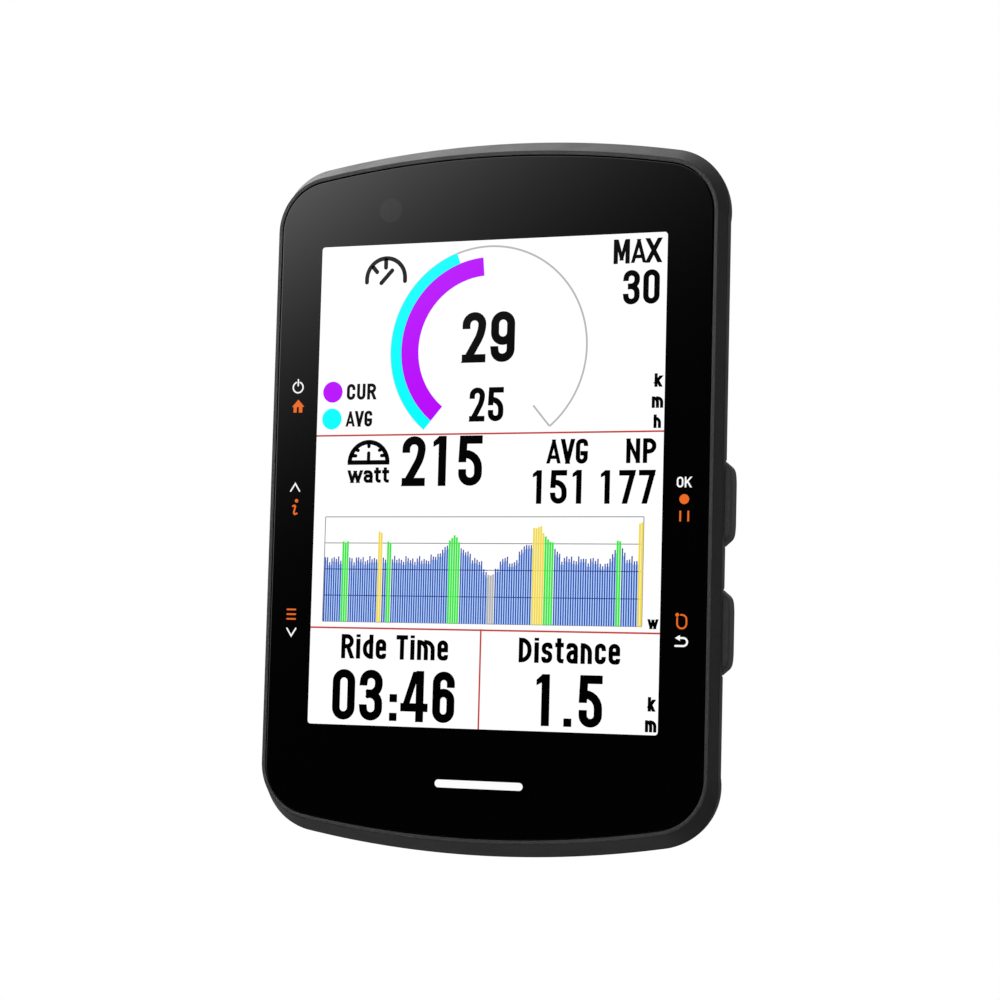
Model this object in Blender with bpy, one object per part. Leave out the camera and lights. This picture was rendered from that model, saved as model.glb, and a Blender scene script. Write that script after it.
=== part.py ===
"""Handlebar cycling computer with a portrait touch display, side buttons and a quarter-turn mount.

The model stands upright: +X is to the right of someone who reads the display, -Y is the way the display
faces, and +Z is up the display. The origin is the centre of the mount's rear face. Sizes are in millimetres.
"Depth" is the distance back from the front of the glass.
"""

import math

import bmesh
import bpy
from mathutils import Matrix, Vector

MM = 0.001

# Front panel. Glass, rim and covers share one outline: straight sides, arched ends, round corners.
GLASS_HALF_WIDTH = 32.25
GLASS_HALF_HEIGHT = 48.05
GLASS_CORNER = 7.2
END_RADIUS = 150.0
GLASS_THICKNESS = 1.0
GLASS_GAP = 0.15
RIM_WIDTH = 0.7

# Housing. The frame's wall flares out from the rim, more at the ends than at the sides.
BODY_DEPTH = 12.8
FLARE_DEPTH = 2.9
FLARE_SIDE = 1.25
FLARE_END = 2.65
LEDGE_DEPTH = 1.5
LEDGE_REACH = 3.4
SKIRT_DEPTH = 3.8
SKIRT_OUTER_INSET = 1.15
SKIRT_INNER_INSET = 2.15
BOSS_RADIUS = 2.8
BOSS_SPAN = (1.8, 9.3)
INSERT_BORE_RADIUS = 1.65
SCREW_BORE_RADIUS = 1.15
SHUT_LINE = 0.15
COVER_ROUNDING = 5.0
INNER_ROUNDING = 2.6
WALL = 1.5
FLOOR_DEPTH = 11.4
PAD_DEPTH = 11.6

# Display: the lit area, centred above the middle of the body, and the panel's border round it
DISPLAY_WIDTH = 51.8
DISPLAY_HEIGHT = 69.1
DISPLAY_Z = 1.6
PANEL_HALF_WIDTH = DISPLAY_WIDTH / 2 + 1.3
PANEL_TOP = DISPLAY_Z + DISPLAY_HEIGHT / 2 + 1.05
PANEL_BOTTOM = DISPLAY_Z - DISPLAY_HEIGHT / 2 - 2.55
CHASSIS_CLEARANCE = 0.15
CHASSIS_SHEET = 0.35

# Circuit board and battery
BOARD_HALF_WIDTH = 27.6
BOARD_HALF_HEIGHT = 42.0
BOARD_FRONT = 5.0
BOARD_BACK = 6.0
BATTERY_HALF_WIDTH = 22.0
BATTERY_TOP = 14.0
BATTERY_BOTTOM = -38.0
BATTERY_FRONT = 6.6
BATTERY_BACK = 9.7

# Buttons: side (+1 right, -1 left), height of the centre, length along the edge
BUTTONS = {
    "ok": (1, -0.85, 11.9),
    "back": (1, -18.7, 11.8),
    "power": (-1, 14.4, 8.4),
    "up": (-1, -0.85, 11.9),
    "menu": (-1, -18.7, 11.8),
}
BUTTON_DEPTH = 7.0
BUTTON_WIDTH = 4.4
BUTTON_FACE_X = 34.35
BUTTON_CLEARANCE = 0.2
SLOT_CORNER = 1.2
FLANGE_ACROSS = 0.6
FLANGE_ALONG = 1.0
PLUNGER_HALF_WIDTH = 0.9
SWITCH_FACE_X = 27.2
STEM_RADIUS = 0.5

# Quarter-turn mount on the back
MOUNT_HEIGHT = 3.4
MOUNT_BASE_RADIUS = 16.5
MOUNT_BASE_FRONT = 11.75
MOUNT_NECK_RADIUS = 11.8
MOUNT_LUG_RADIUS = 15.3
MOUNT_LUG_THICKNESS = 1.6
MOUNT_LUG_ANGLE = 64.0
MOUNT_SCREW_CIRCLE = 8.6
MOUNT_HEAD_SEAT = 14.8

# Fasteners
CASE_SCREW_X = 24.2
CASE_SCREW_Z = 40.9

# Openings in the back: vent holes over the pressure sensor, and sound slots over the buzzer
VENT_X = 20.0
VENT_Z = 30.0
VENT_CIRCLE = 1.5
VENT_RADIUS = 0.5
BUZZER_X = 12.0
BUZZER_Z = 20.0
SOUND_SLOT_PITCH = 1.8

# Charging port at the bottom edge, and the flap over it
PORT_DEPTH = 7.7
PORT_HALF_WIDTH = 4.9
PORT_HALF_HEIGHT = 1.6
FLAP_HALF_WIDTH = 7.5
FLAP_FRONT = 5.0
FLAP_BACK = 9.4
FLAP_SEAT_Z = -48.7
FLAP_PLUG_DEPTH = 7.85
PORT_BLOCK_HALF_WIDTH = 9.2
FLAP_HINGE_DEPTH = 9.3
FLAP_HINGE_Z = -49.3

TOTAL_DEPTH = BODY_DEPTH + MOUNT_HEIGHT
CORNER_STEPS = 6
END_STEPS = 8

MATERIALS = {
    "black_plastic": ((0.030, 0.031, 0.033), 0.62, 0.0),
    "black_rubber": ((0.022, 0.022, 0.024), 0.80, 0.0),
    "black_glass": ((0.004, 0.004, 0.005), 0.05, 0.0),
    "adhesive": ((0.010, 0.010, 0.010), 0.70, 0.0),
    "display": ((0.90, 0.92, 0.94), 0.30, 0.0),
    "light_guide": ((0.92, 0.94, 0.96), 0.25, 0.0),
    "sheet_steel": ((0.62, 0.63, 0.65), 0.35, 1.0),
    "circuit_board": ((0.02, 0.16, 0.09), 0.45, 0.0),
    "flex_circuit": ((0.70, 0.36, 0.08), 0.45, 0.0),
    "chip": ((0.03, 0.03, 0.035), 0.50, 0.0),
    "ceramic": ((0.80, 0.76, 0.66), 0.55, 0.0),
    "battery_foil": ((0.72, 0.73, 0.75), 0.35, 1.0),
    "foam": ((0.12, 0.12, 0.13), 0.90, 0.0),
    "brass": ((0.78, 0.60, 0.28), 0.30, 1.0),
    "black_steel": ((0.08, 0.08, 0.09), 0.38, 1.0),
}


# ---------------------------------------------------------------- helpers

def point(x, depth, z):
    """A place in the model from millimetres to the right, back from the glass, and up."""
    return Vector((x, depth - TOTAL_DEPTH, z)) * MM


def material(name):
    """The named material, made the first time it is asked for."""
    if name in bpy.data.materials:
        return bpy.data.materials[name]
    colour, roughness, metallic = MATERIALS[name]
    made = bpy.data.materials.new(name)
    made.use_nodes = True
    shader = made.node_tree.nodes["Principled BSDF"]
    shader.inputs["Base Color"].default_value = (*colour, 1.0)
    shader.inputs["Roughness"].default_value = roughness
    shader.inputs["Metallic"].default_value = metallic
    return made


def loft(name, rings, material_name, closed=False):
    """Skin a closed body over rings with the same number of points.

    The first and the last ring are capped, or joined to each other when closed is set.
    """
    mesh = bpy.data.meshes.new(name)
    shape = bmesh.new()
    loops = [[shape.verts.new(place) for place in ring] for ring in rings]
    pairs = list(zip(loops, loops[1:]))
    if closed:
        pairs.append((loops[-1], loops[0]))
    else:
        shape.faces.new(loops[0])
        shape.faces.new(loops[-1])
    count = len(loops[0])
    for first, second in pairs:
        for i in range(count):
            j = (i + 1) % count
            shape.faces.new((first[i], first[j], second[j], second[i]))
    bmesh.ops.recalc_face_normals(shape, faces=shape.faces)
    shape.to_mesh(mesh)
    shape.free()
    mesh.materials.append(material(material_name))
    node = bpy.data.objects.new(name, mesh)
    bpy.context.collection.objects.link(node)
    return node


def panel_outline(side, end):
    """Points (x, z) of the glass outline grown outwards, anticlockwise from the right side.

    The growth goes gradually from side, at the sides, to end, at the ends.
    """
    arch_centre = GLASS_HALF_HEIGHT - END_RADIUS
    corner_x = GLASS_HALF_WIDTH - GLASS_CORNER
    corner_z = arch_centre + math.sqrt((END_RADIUS - GLASS_CORNER) ** 2 - corner_x ** 2)
    meeting = math.atan2(corner_z - arch_centre, corner_x)
    sweep = math.pi - 2 * meeting
    spokes = [(corner_x, corner_z, GLASS_CORNER, meeting * i / CORNER_STEPS) for i in range(CORNER_STEPS + 1)]
    spokes += [(0.0, arch_centre, END_RADIUS, meeting + sweep * i / END_STEPS) for i in range(1, END_STEPS)]
    upper = []
    for x, z, radius, angle in spokes:
        reach = radius + side + (end - side) * math.sin(angle)
        upper.append((x + reach * math.cos(angle), z + reach * math.sin(angle)))
    upper += [(-x, z) for x, z in reversed(upper[:CORNER_STEPS + 1])]
    return upper + [(-x, -z) for x, z in upper]


def panel_ring(side, end, depth):
    """The shared outline at one depth, grown from the glass by side at the sides and end at the ends."""
    return [point(x, depth, z) for x, z in panel_outline(side, end)]


def offset_ring(offset, depth):
    """The glass outline grown evenly by offset."""
    return panel_ring(offset, offset, depth)


def cover_ring(inset, depth):
    """The rear cover's outline drawn in by inset."""
    return panel_ring(FLARE_SIDE - inset, FLARE_END - inset, depth)


def circle(x, z, radius, steps=24):
    """Points of a circle."""
    turns = [math.tau * i / steps for i in range(steps)]
    return [(x + radius * math.cos(a), z + radius * math.sin(a)) for a in turns]


def rounded(x, z, half_width, half_height, corner, steps=4):
    """Points of a rectangle with round corners."""
    outline = []
    for quarter in range(4):
        across = half_width - corner if quarter in (0, 3) else corner - half_width
        up = half_height - corner if quarter in (0, 1) else corner - half_height
        for i in range(steps + 1):
            a = (quarter + i / steps) * math.pi / 2
            outline.append((x + across + corner * math.cos(a), z + up + corner * math.sin(a)))
    return outline


def prism(name, outline, span, material_name, along="depth"):
    """Extrude an outline of (x, z) points along depth, (depth, z) along x, or (x, depth) along z."""
    ways = {
        "depth": lambda a, b, s: point(a, s, b),
        "x": lambda a, b, s: point(s, a, b),
        "z": lambda a, b, s: point(a, b, s),
    }
    return loft(name, [[ways[along](a, b, s) for a, b in outline] for s in span], material_name)


def box(name, x_span, depth_span, z_span, material_name):
    """A plain block."""
    corners = [(x, z) for x, z in ((x_span[0], z_span[0]), (x_span[1], z_span[0]),
                                   (x_span[1], z_span[1]), (x_span[0], z_span[1]))]
    return prism(name, corners, depth_span, material_name)


def turned(name, x, z, profile, material_name, steps=20, closed=False):
    """A body turned about an axis along the depth; profile is a list of (radius, depth)."""
    rings = [[point(a, depth, b) for a, b in circle(x, z, radius, steps)] for radius, depth in profile]
    return loft(name, rings, material_name, closed)


def strip(name, path, thickness, x_span, material_name):
    """A thin strip bent along a path of (depth, z) points with square corners, as wide as x_span."""
    half = thickness / 2
    one_side, other_side = [], []
    for i, (depth, z) in enumerate(path):
        before = path[i - 1] if i > 0 else None
        after = path[i + 1] if i + 1 < len(path) else None
        normals = []
        for start, finish in ((before, (depth, z)), ((depth, z), after)):
            if start and finish:
                run = Vector((finish[0] - start[0], finish[1] - start[1])).normalized()
                normals.append(Vector((-run.y, run.x)))
        shift = sum(normals, Vector((0.0, 0.0))) * half
        one_side.append((depth + shift.x, z + shift.y))
        other_side.append((depth - shift.x, z - shift.y))
    return prism(name, one_side + other_side[::-1], x_span, material_name, along="x")


def combine(target, tools, operation):
    """Join tools to target, or cut them out of it, or keep what they share, and remove the tools."""
    for tool in tools:
        change = target.modifiers.new(operation.lower(), "BOOLEAN")
        change.operation = operation
        change.solver = "EXACT"
        change.object = tool
        depsgraph = bpy.context.evaluated_depsgraph_get()
        result = bpy.data.meshes.new_from_object(target.evaluated_get(depsgraph))
        target.modifiers.clear()
        old = target.data
        target.data = result
        result.name = target.name
        bpy.data.meshes.remove(old)
        bpy.data.objects.remove(tool)
    return target


def set_origin(node, origin):
    """Move the object's origin without moving its shape."""
    node.data.transform(Matrix.Translation(-origin))
    node.location = origin
    return node


def soften(node, angle=35.0):
    """Shade the curved faces smooth and keep edges sharper than the angle crisp."""
    node.data.shade_smooth()
    node.data.set_sharp_from_angle(angle=math.radians(angle))


# ---------------------------------------------------------------- housing

def front_frame():
    """Rim, flared wall, ledge under the glass, skirt inside the rear cover, and four screw bosses."""
    rings = [
        offset_ring(GLASS_GAP, 0.0),
        offset_ring(RIM_WIDTH, 0.0),
        panel_ring(FLARE_SIDE, FLARE_END, FLARE_DEPTH),
        offset_ring(-SKIRT_OUTER_INSET, FLARE_DEPTH),
        offset_ring(-SKIRT_OUTER_INSET, SKIRT_DEPTH),
        offset_ring(-SKIRT_INNER_INSET, SKIRT_DEPTH),
        offset_ring(-SKIRT_INNER_INSET, FLARE_DEPTH),
        offset_ring(-LEDGE_REACH, FLARE_DEPTH),
        offset_ring(-LEDGE_REACH, LEDGE_DEPTH),
        offset_ring(GLASS_GAP, LEDGE_DEPTH),
    ]
    frame = loft("front_frame", rings, "black_plastic", closed=True)
    for x, z in case_screw_places():
        boss = prism("boss", circle(x, z, BOSS_RADIUS), BOSS_SPAN, "black_plastic")
        insert_bore = prism("bore", circle(x, z, INSERT_BORE_RADIUS), (5.4, 9.6), "black_plastic")
        screw_bore = prism("bore", circle(x, z, SCREW_BORE_RADIUS, 16), (4.0, 5.6), "black_plastic")
        combine(frame, [boss], "UNION")
        combine(frame, [insert_bore, screw_bore], "DIFFERENCE")
    return frame


def cover_profile(start_inset, rounding, back, steps):
    """(inset, depth) pairs of a wall that runs back from the shut line and rounds over to a flat floor."""
    front = FLARE_DEPTH + SHUT_LINE
    turns = [math.pi / 2 * i / steps for i in range(steps + 1)]
    return [(start_inset + rounding * (1 - math.cos(a)), front + (back - front) * math.sin(a)) for a in turns]


def cover_blank(name):
    """The rear cover's outer shape as a solid block, used for the cover's flap as well."""
    outer = cover_profile(0.0, COVER_ROUNDING, BODY_DEPTH, 6)
    return loft(name, [cover_ring(inset, depth) for inset, depth in outer], "black_plastic")


def rear_cover():
    """Rear shell with button slots, screw seats, mount seat, port, vent and sound holes."""
    outer = cover_profile(0.0, COVER_ROUNDING, BODY_DEPTH, 6)
    inner = cover_profile(WALL, INNER_ROUNDING, FLOOR_DEPTH, 5)
    profile = outer[::-1] + inner
    cover = loft("rear_cover", [cover_ring(inset, depth) for inset, depth in profile], "black_plastic")
    port_width = (-PORT_BLOCK_HALF_WIDTH, PORT_BLOCK_HALF_WIDTH)
    pads = [
        prism("mount_pad", circle(0, 0, MOUNT_BASE_RADIUS + 2.0, 40), (10.0, PAD_DEPTH), "black_plastic"),
        box("port_block", port_width, (4.3, 8.0), (-49.6, -47.6), "black_plastic"),
        box("port_block", port_width, (7.0, 9.9), (-48.9, -47.6), "black_plastic"),
    ]
    pads += [prism("screw_pad", circle(x, z, 3.2), (9.6, PAD_DEPTH), "black_plastic")
             for x, z in case_screw_places()]
    combine(cover, pads, "UNION")
    combine(cover, cover_cutters(), "DIFFERENCE")
    return cover


def cover_cutters():
    """Everything that is cut out of the rear cover."""
    behind = BODY_DEPTH + 0.7
    cutters = [prism("mount_seat", circle(0, 0, MOUNT_BASE_RADIUS + SHUT_LINE, 40), (PAD_DEPTH, behind),
                     "black_plastic")]
    for x, z in mount_screw_places():
        cutters.append(prism("pilot", circle(x, z, 0.95, 12), (10.3, 12.0), "black_plastic"))
    for x, z in case_screw_places():
        cutters.append(prism("head_bore", circle(x, z, 2.1), (10.8, behind), "black_plastic"))
        cutters.append(prism("shank_bore", circle(x, z, 1.2, 16), (9.0, 11.0), "black_plastic"))
    for side, z, length in BUTTONS.values():
        slot = rounded(BUTTON_DEPTH, z, BUTTON_WIDTH / 2 + BUTTON_CLEARANCE,
                       length / 2 + BUTTON_CLEARANCE, SLOT_CORNER)
        cutters.append(prism("slot", slot, (side * 29.5, side * 35.5), "black_plastic", along="x"))
    port = rounded(0, PORT_DEPTH, PORT_HALF_WIDTH, PORT_HALF_HEIGHT, 1.5)
    cutters.append(prism("port", port, (-52.0, -46.5), "black_plastic", along="z"))
    cutters.append(box("flap_seat", (-FLAP_HALF_WIDTH - 0.2, FLAP_HALF_WIDTH + 0.2),
                       (FLAP_FRONT - 0.2, FLAP_BACK + 0.3), (-53.0, FLAP_SEAT_Z), "black_plastic"))
    for x, z in vent_places():
        cutters.append(prism("vent_hole", circle(x, z, VENT_RADIUS, 12), (11.0, behind), "black_plastic"))
    for row in (-1, 0, 1):
        slot = rounded(BUZZER_X, BUZZER_Z + row * SOUND_SLOT_PITCH, 2.6, 0.45, 0.4, 3)
        cutters.append(prism("sound_slot", slot, (11.0, behind), "black_plastic"))
    return cutters


def housing_seal():
    """Rubber ring between the frame's skirt and the rear cover's wall."""
    rings = [offset_ring(-1.0, 3.15), offset_ring(-0.45, 3.15), offset_ring(-0.45, 3.7),
             offset_ring(-1.0, 3.7)]
    return loft("housing_seal", rings, "black_rubber", closed=True)


def case_screw_places():
    """Where the four case screws sit, seen from the front."""
    return [(x, z) for x in (-CASE_SCREW_X, CASE_SCREW_X) for z in (-CASE_SCREW_Z, CASE_SCREW_Z)]


def mount_screw_places():
    """Where the four mount screws sit, between the lugs and on them."""
    turns = [math.radians(45 + 90 * i) for i in range(4)]
    return [(MOUNT_SCREW_CIRCLE * math.cos(a), MOUNT_SCREW_CIRCLE * math.sin(a)) for a in turns]


def vent_places():
    """Three small vent holes over the pressure sensor's membrane."""
    return [(VENT_X + VENT_CIRCLE * math.cos(a), VENT_Z + VENT_CIRCLE * math.sin(a)) for a in (0.5, 2.6, 4.7)]


def case_fasteners():
    """Four case screws, each with a brass insert in the frame's boss."""
    for number, (x, z) in enumerate(case_screw_places(), 1):
        screw_profile = [(0.6, 4.6), (0.95, 5.0), (0.95, 10.95), (1.85, 10.95), (1.85, 12.3),
                         (0.85, 12.3), (0.85, 11.6)]
        soften(turned(f"case_screw_{number}", x, z, screw_profile, "black_steel"))
        insert_profile = [(1.55, 5.7), (1.55, 9.1), (1.05, 9.1), (1.05, 5.7)]
        soften(turned(f"threaded_insert_{number}", x, z, insert_profile, "brass", closed=True))


# ---------------------------------------------------------------- mount

def lug_outline():
    """The mount's round neck with two lugs, one to the right and one to the left."""
    half = math.radians(MOUNT_LUG_ANGLE / 2)
    outline = []
    for middle in (0.0, math.pi):
        outline += [(MOUNT_LUG_RADIUS, middle - half + 2 * half * i / 8) for i in range(9)]
        gap = math.pi - 2 * half
        outline += [(MOUNT_NECK_RADIUS, middle + half + gap * i / 12) for i in range(13)]
    return [(r * math.cos(a), r * math.sin(a)) for r, a in outline]


def mount_plate():
    """Quarter-turn mount: a base sunk in the rear cover, a round neck and two lugs."""
    lug_front = TOTAL_DEPTH - MOUNT_LUG_THICKNESS
    profile = [(MOUNT_BASE_RADIUS, MOUNT_BASE_FRONT), (MOUNT_BASE_RADIUS, BODY_DEPTH),
               (MOUNT_NECK_RADIUS, BODY_DEPTH), (MOUNT_NECK_RADIUS, lug_front + 0.4)]
    plate = turned("mount_plate", 0, 0, profile, "black_plastic", steps=48)
    lugs = prism("lugs", lug_outline(), (lug_front, TOTAL_DEPTH), "black_plastic")
    combine(plate, [lugs], "UNION")
    for x, z in mount_screw_places():
        head_bore = prism("head_bore", circle(x, z, 1.8), (MOUNT_HEAD_SEAT, TOTAL_DEPTH + 0.5),
                          "black_plastic")
        shank_bore = prism("shank_bore", circle(x, z, 1.0, 12), (11.0, MOUNT_HEAD_SEAT + 0.2),
                           "black_plastic")
        combine(plate, [head_bore, shank_bore], "DIFFERENCE")
    return plate


def mount_screws():
    """Four screws that hold the mount to the rear cover."""
    for number, (x, z) in enumerate(mount_screw_places(), 1):
        profile = [(0.5, 10.5), (0.75, 10.8), (0.75, 14.95), (1.55, 14.95), (1.55, 16.0), (0.7, 16.0),
                   (0.7, 15.4)]
        soften(turned(f"mount_screw_{number}", x, z, profile, "black_steel"))


# ---------------------------------------------------------------- glass and display

def cover_glass():
    """Flat cover glass, flush with the rim."""
    return loft("cover_glass", [offset_ring(0.0, 0.0), offset_ring(0.0, GLASS_THICKNESS)], "black_glass")


def glass_adhesive():
    """Adhesive ring between the glass and the frame's ledge."""
    rings = [offset_ring(-0.4, 1.12), offset_ring(-2.85, 1.12), offset_ring(-2.85, 1.38),
             offset_ring(-0.4, 1.38)]
    return loft("glass_adhesive", rings, "adhesive", closed=True)


def display_stack():
    """Touch film, display panel and light guide, stacked in a sheet steel chassis."""
    wide = (-PANEL_HALF_WIDTH, PANEL_HALF_WIDTH)
    tall = (PANEL_BOTTOM, PANEL_TOP)
    box("touch_sensor", wide, (1.12, 1.45), tall, "adhesive")
    box("lcd_panel", wide, (1.6, 2.9), tall, "display")
    box("light_guide", wide, (3.05, 3.75), tall, "light_guide")
    inside, outside = CHASSIS_CLEARANCE, CHASSIS_CLEARANCE + CHASSIS_SHEET
    rings = []
    for reach, depth in ((outside, 4.25), (outside, 1.7), (inside, 1.7), (inside, 3.9)):
        outline = [(-PANEL_HALF_WIDTH - reach, PANEL_BOTTOM - reach),
                   (PANEL_HALF_WIDTH + reach, PANEL_BOTTOM - reach),
                   (PANEL_HALF_WIDTH + reach, PANEL_TOP + reach),
                   (-PANEL_HALF_WIDTH - reach, PANEL_TOP + reach)]
        rings.append([point(x, depth, z) for x, z in outline])
    chassis = loft("display_chassis", rings, "sheet_steel")
    notch = box("notch", (-9.0, 9.0), (1.0, 3.2), (PANEL_BOTTOM - 1.0, PANEL_BOTTOM - 0.05), "sheet_steel")
    combine(chassis, [notch], "DIFFERENCE")
    strip("display_flex", [(2.2, PANEL_BOTTOM - 0.2), (2.2, -36.9), (4.62, -36.9), (4.62, -28.0)], 0.2,
          (-8.0, 8.0), "flex_circuit")


def light_sensing():
    """Ambient light sensor behind the glass, and its flexible circuit to the board."""
    box("light_sensor", (-16.6, -14.1), (1.5, 2.4), (40.0, 42.3), "chip")
    strip("sensor_flex", [(2.65, 42.5), (2.65, 38.6), (4.62, 38.6), (4.62, 35.0)], 0.2, (-17.0, -13.7),
          "flex_circuit")


# ---------------------------------------------------------------- electronics

def main_board():
    """Circuit board behind the display, notched round the frame's bosses."""
    board = box("main_board", (-BOARD_HALF_WIDTH, BOARD_HALF_WIDTH), (BOARD_FRONT, BOARD_BACK),
                (-BOARD_HALF_HEIGHT, BOARD_HALF_HEIGHT), "circuit_board")
    notches = [prism("notch", circle(x, z, 3.3), (4.5, 6.5), "circuit_board")
               for x, z in case_screw_places()]
    return combine(board, notches, "DIFFERENCE")


def shield_can(name, x_span, z_span):
    """Sheet steel can, open towards the board."""
    rings = []
    for inset, depth in ((0.0, 8.0), (0.0, 6.1), (0.2, 6.1), (0.2, 7.8)):
        outline = [(x_span[0] + inset, z_span[0] + inset), (x_span[1] - inset, z_span[0] + inset),
                   (x_span[1] - inset, z_span[1] - inset), (x_span[0] + inset, z_span[1] - inset)]
        rings.append([point(x, depth, z) for x, z in outline])
    return loft(name, rings, "sheet_steel")


def board_components():
    """Chips, shields, antenna, sensors, buzzer and connectors on the board."""
    shield_can("processor_shield", (-22.0, 0.0), (18.0, 38.0))
    box("processor", (-18.0, -8.0), (6.15, 7.3), (25.0, 35.0), "chip")
    box("memory_chip", (-6.5, -1.5), (6.15, 7.1), (20.0, 32.0), "chip")
    shield_can("radio_shield", (2.0, 15.5), (27.0, 38.0))
    box("radio_chip", (6.0, 11.5), (6.15, 7.0), (29.5, 35.0), "chip")
    box("gnss_antenna", (-10.0, 10.0), (1.8, 4.6), (39.4, 44.0), "ceramic")
    box("barometer", (18.5, 21.5), (6.15, 7.2), (28.5, 31.5), "chip")
    soften(prism("vent_membrane", circle(VENT_X, VENT_Z, 2.8), (11.0, 11.25), "foam"))
    soften(prism("buzzer", circle(BUZZER_X, BUZZER_Z, 4.4), (6.15, 8.4), "chip"))
    box("battery_connector", (17.5, 22.5), (6.15, 7.8), (16.6, 19.4), "ceramic")


def usb_connector():
    """Charging socket at the bottom edge of the board, with its tongue left out of the open mouth."""
    shell = rounded(0, PORT_DEPTH, 4.47, 1.5, 1.4)
    socket = prism("usb_connector", shell, (-47.2, -40.2), "sheet_steel", along="z")
    mouth = prism("mouth", rounded(0, PORT_DEPTH, 4.17, 1.2, 1.1), (-48.0, -41.4), "sheet_steel",
                  along="z")
    return soften(combine(socket, [mouth], "DIFFERENCE"))


def battery_pack():
    """Pouch cell, the foam that holds it to the board, and its flat lead to the connector."""
    wide = (-BATTERY_HALF_WIDTH, BATTERY_HALF_WIDTH)
    box("battery", wide, (BATTERY_FRONT, BATTERY_BACK), (BATTERY_BOTTOM, BATTERY_TOP), "battery_foil")
    box("battery_foam", (wide[0] + 3.0, wide[1] - 3.0), (6.15, 6.45),
        (BATTERY_BOTTOM + 3.0, BATTERY_TOP - 3.0), "foam")
    strip("battery_lead", [(8.2, BATTERY_TOP + 0.2), (8.2, 18.5)], 0.3, (18.0, 22.0), "flex_circuit")


# ---------------------------------------------------------------- buttons

def button_cap(name, side, z, length):
    """Cap with a flange inside the wall and a plunger; its face has sloped ends and a slight bow."""
    half, width, face = length / 2, BUTTON_WIDTH / 2, BUTTON_FACE_X
    plunger = PLUNGER_HALF_WIDTH
    stations = [
        (face - 6.25, plunger, plunger, 0.88),
        (face - 4.6, plunger, plunger, 0.88),
        (face - 4.6, width + FLANGE_ACROSS, half + FLANGE_ALONG, 0.8),
        (face - 3.8, width + FLANGE_ACROSS, half + FLANGE_ALONG, 0.8),
        (face - 3.8, width, half, 1.0),
        (face - 1.5, width, half, 1.0),
        (face - 0.22, width - 0.35, half - 1.05, 0.9),
        (face - 0.06, width - 0.6, half - 2.3, 0.7),
        (face, width - 0.75, half - 3.4, 0.25),
    ]
    rings = []
    for x, across, along, corner in stations:
        outline = rounded(BUTTON_DEPTH, z, across, along, corner)
        rings.append([point(side * x, depth, height) for depth, height in outline])
    cap = loft(f"{name}_button", rings, "black_rubber")
    soften(cap)
    return set_origin(cap, point(side * 33.4, BUTTON_DEPTH, z))


def button_switch(name, side, z):
    """Side-push switch on the board, and its moving stem."""
    face = SWITCH_FACE_X
    x_span = sorted((side * (face - 3.0), side * face))
    body = box(f"{name}_switch", x_span, (6.15, 8.1), (z - 2.0, z + 2.0), "chip")
    bore = prism("bore", circle(BUTTON_DEPTH, z, STEM_RADIUS + 0.2, 12),
                 (side * (face - 1.8), side * (face + 0.8)), "chip", along="x")
    combine(body, [bore], "DIFFERENCE")
    stem = prism(f"{name}_stem", circle(BUTTON_DEPTH, z, STEM_RADIUS, 12),
                 (side * (face - 1.0), side * (face + 0.7)), "brass", along="x")
    soften(stem)
    return set_origin(stem, point(side * face, BUTTON_DEPTH, z))


def button_seal(side_name, side, z_span):
    """Rubber strip behind the caps of one side, with a hole round each plunger."""
    seal = box(f"button_seal_{side_name}", sorted((side * 28.4, side * 29.0)), (4.3, 9.5), z_span,
               "black_rubber")
    holes = [prism("hole", circle(BUTTON_DEPTH, z, 1.3, 16), (side * 27.9, side * 29.5), "black_rubber",
                   along="x") for where, z, _ in BUTTONS.values() if where == side]
    return combine(seal, holes, "DIFFERENCE")


def buttons():
    """Five sprung buttons: two on the right and three on the left."""
    for name, (side, z, length) in BUTTONS.items():
        button_cap(name, side, z, length)
        button_switch(name, side, z)
    button_seal("right", 1, (-26.0, 6.0))
    button_seal("left", -1, (-26.0, 20.0))


# ---------------------------------------------------------------- port cover

def port_cover():
    """Rubber flap flush with the bottom edge, with a short plug, hinged along its rear edge."""
    flap = cover_blank("port_cover")
    keep = box("keep", (-FLAP_HALF_WIDTH, FLAP_HALF_WIDTH), (FLAP_FRONT, FLAP_BACK),
               (-53.0, FLAP_SEAT_Z - 0.15), "black_rubber")
    combine(flap, [keep], "INTERSECT")
    plug = prism("plug", rounded(0, FLAP_PLUG_DEPTH, 4.2, 0.95, 0.8), (FLAP_SEAT_Z - 0.4, -47.75),
                 "black_rubber", along="z")
    combine(flap, [plug], "UNION")
    flap.data.materials.clear()
    flap.data.materials.append(material("black_rubber"))
    return set_origin(flap, point(0, FLAP_HINGE_DEPTH, FLAP_HINGE_Z))


def build():
    """Clear the scene and make every piece."""
    for old in list(bpy.data.objects):
        bpy.data.objects.remove(old)
    for piece in (front_frame, rear_cover, mount_plate, cover_glass, port_cover):
        soften(piece())
    housing_seal()
    case_fasteners()
    mount_screws()
    glass_adhesive()
    display_stack()
    light_sensing()
    main_board()
    board_components()
    usb_connector()
    battery_pack()
    buttons()


build()
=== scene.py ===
"""Looks of a handlebar cycling computer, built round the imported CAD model.

Sizes are in millimetres until a point is made, and a place is (x, depth, z): x to the reader's right, depth
back from the front of the glass, z up. The outer pieces repeat the CAD's own rules at a finer resolution.
"""

import math
from collections import namedtuple

import bmesh
import bpy
from mathutils import Matrix, Vector


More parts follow.
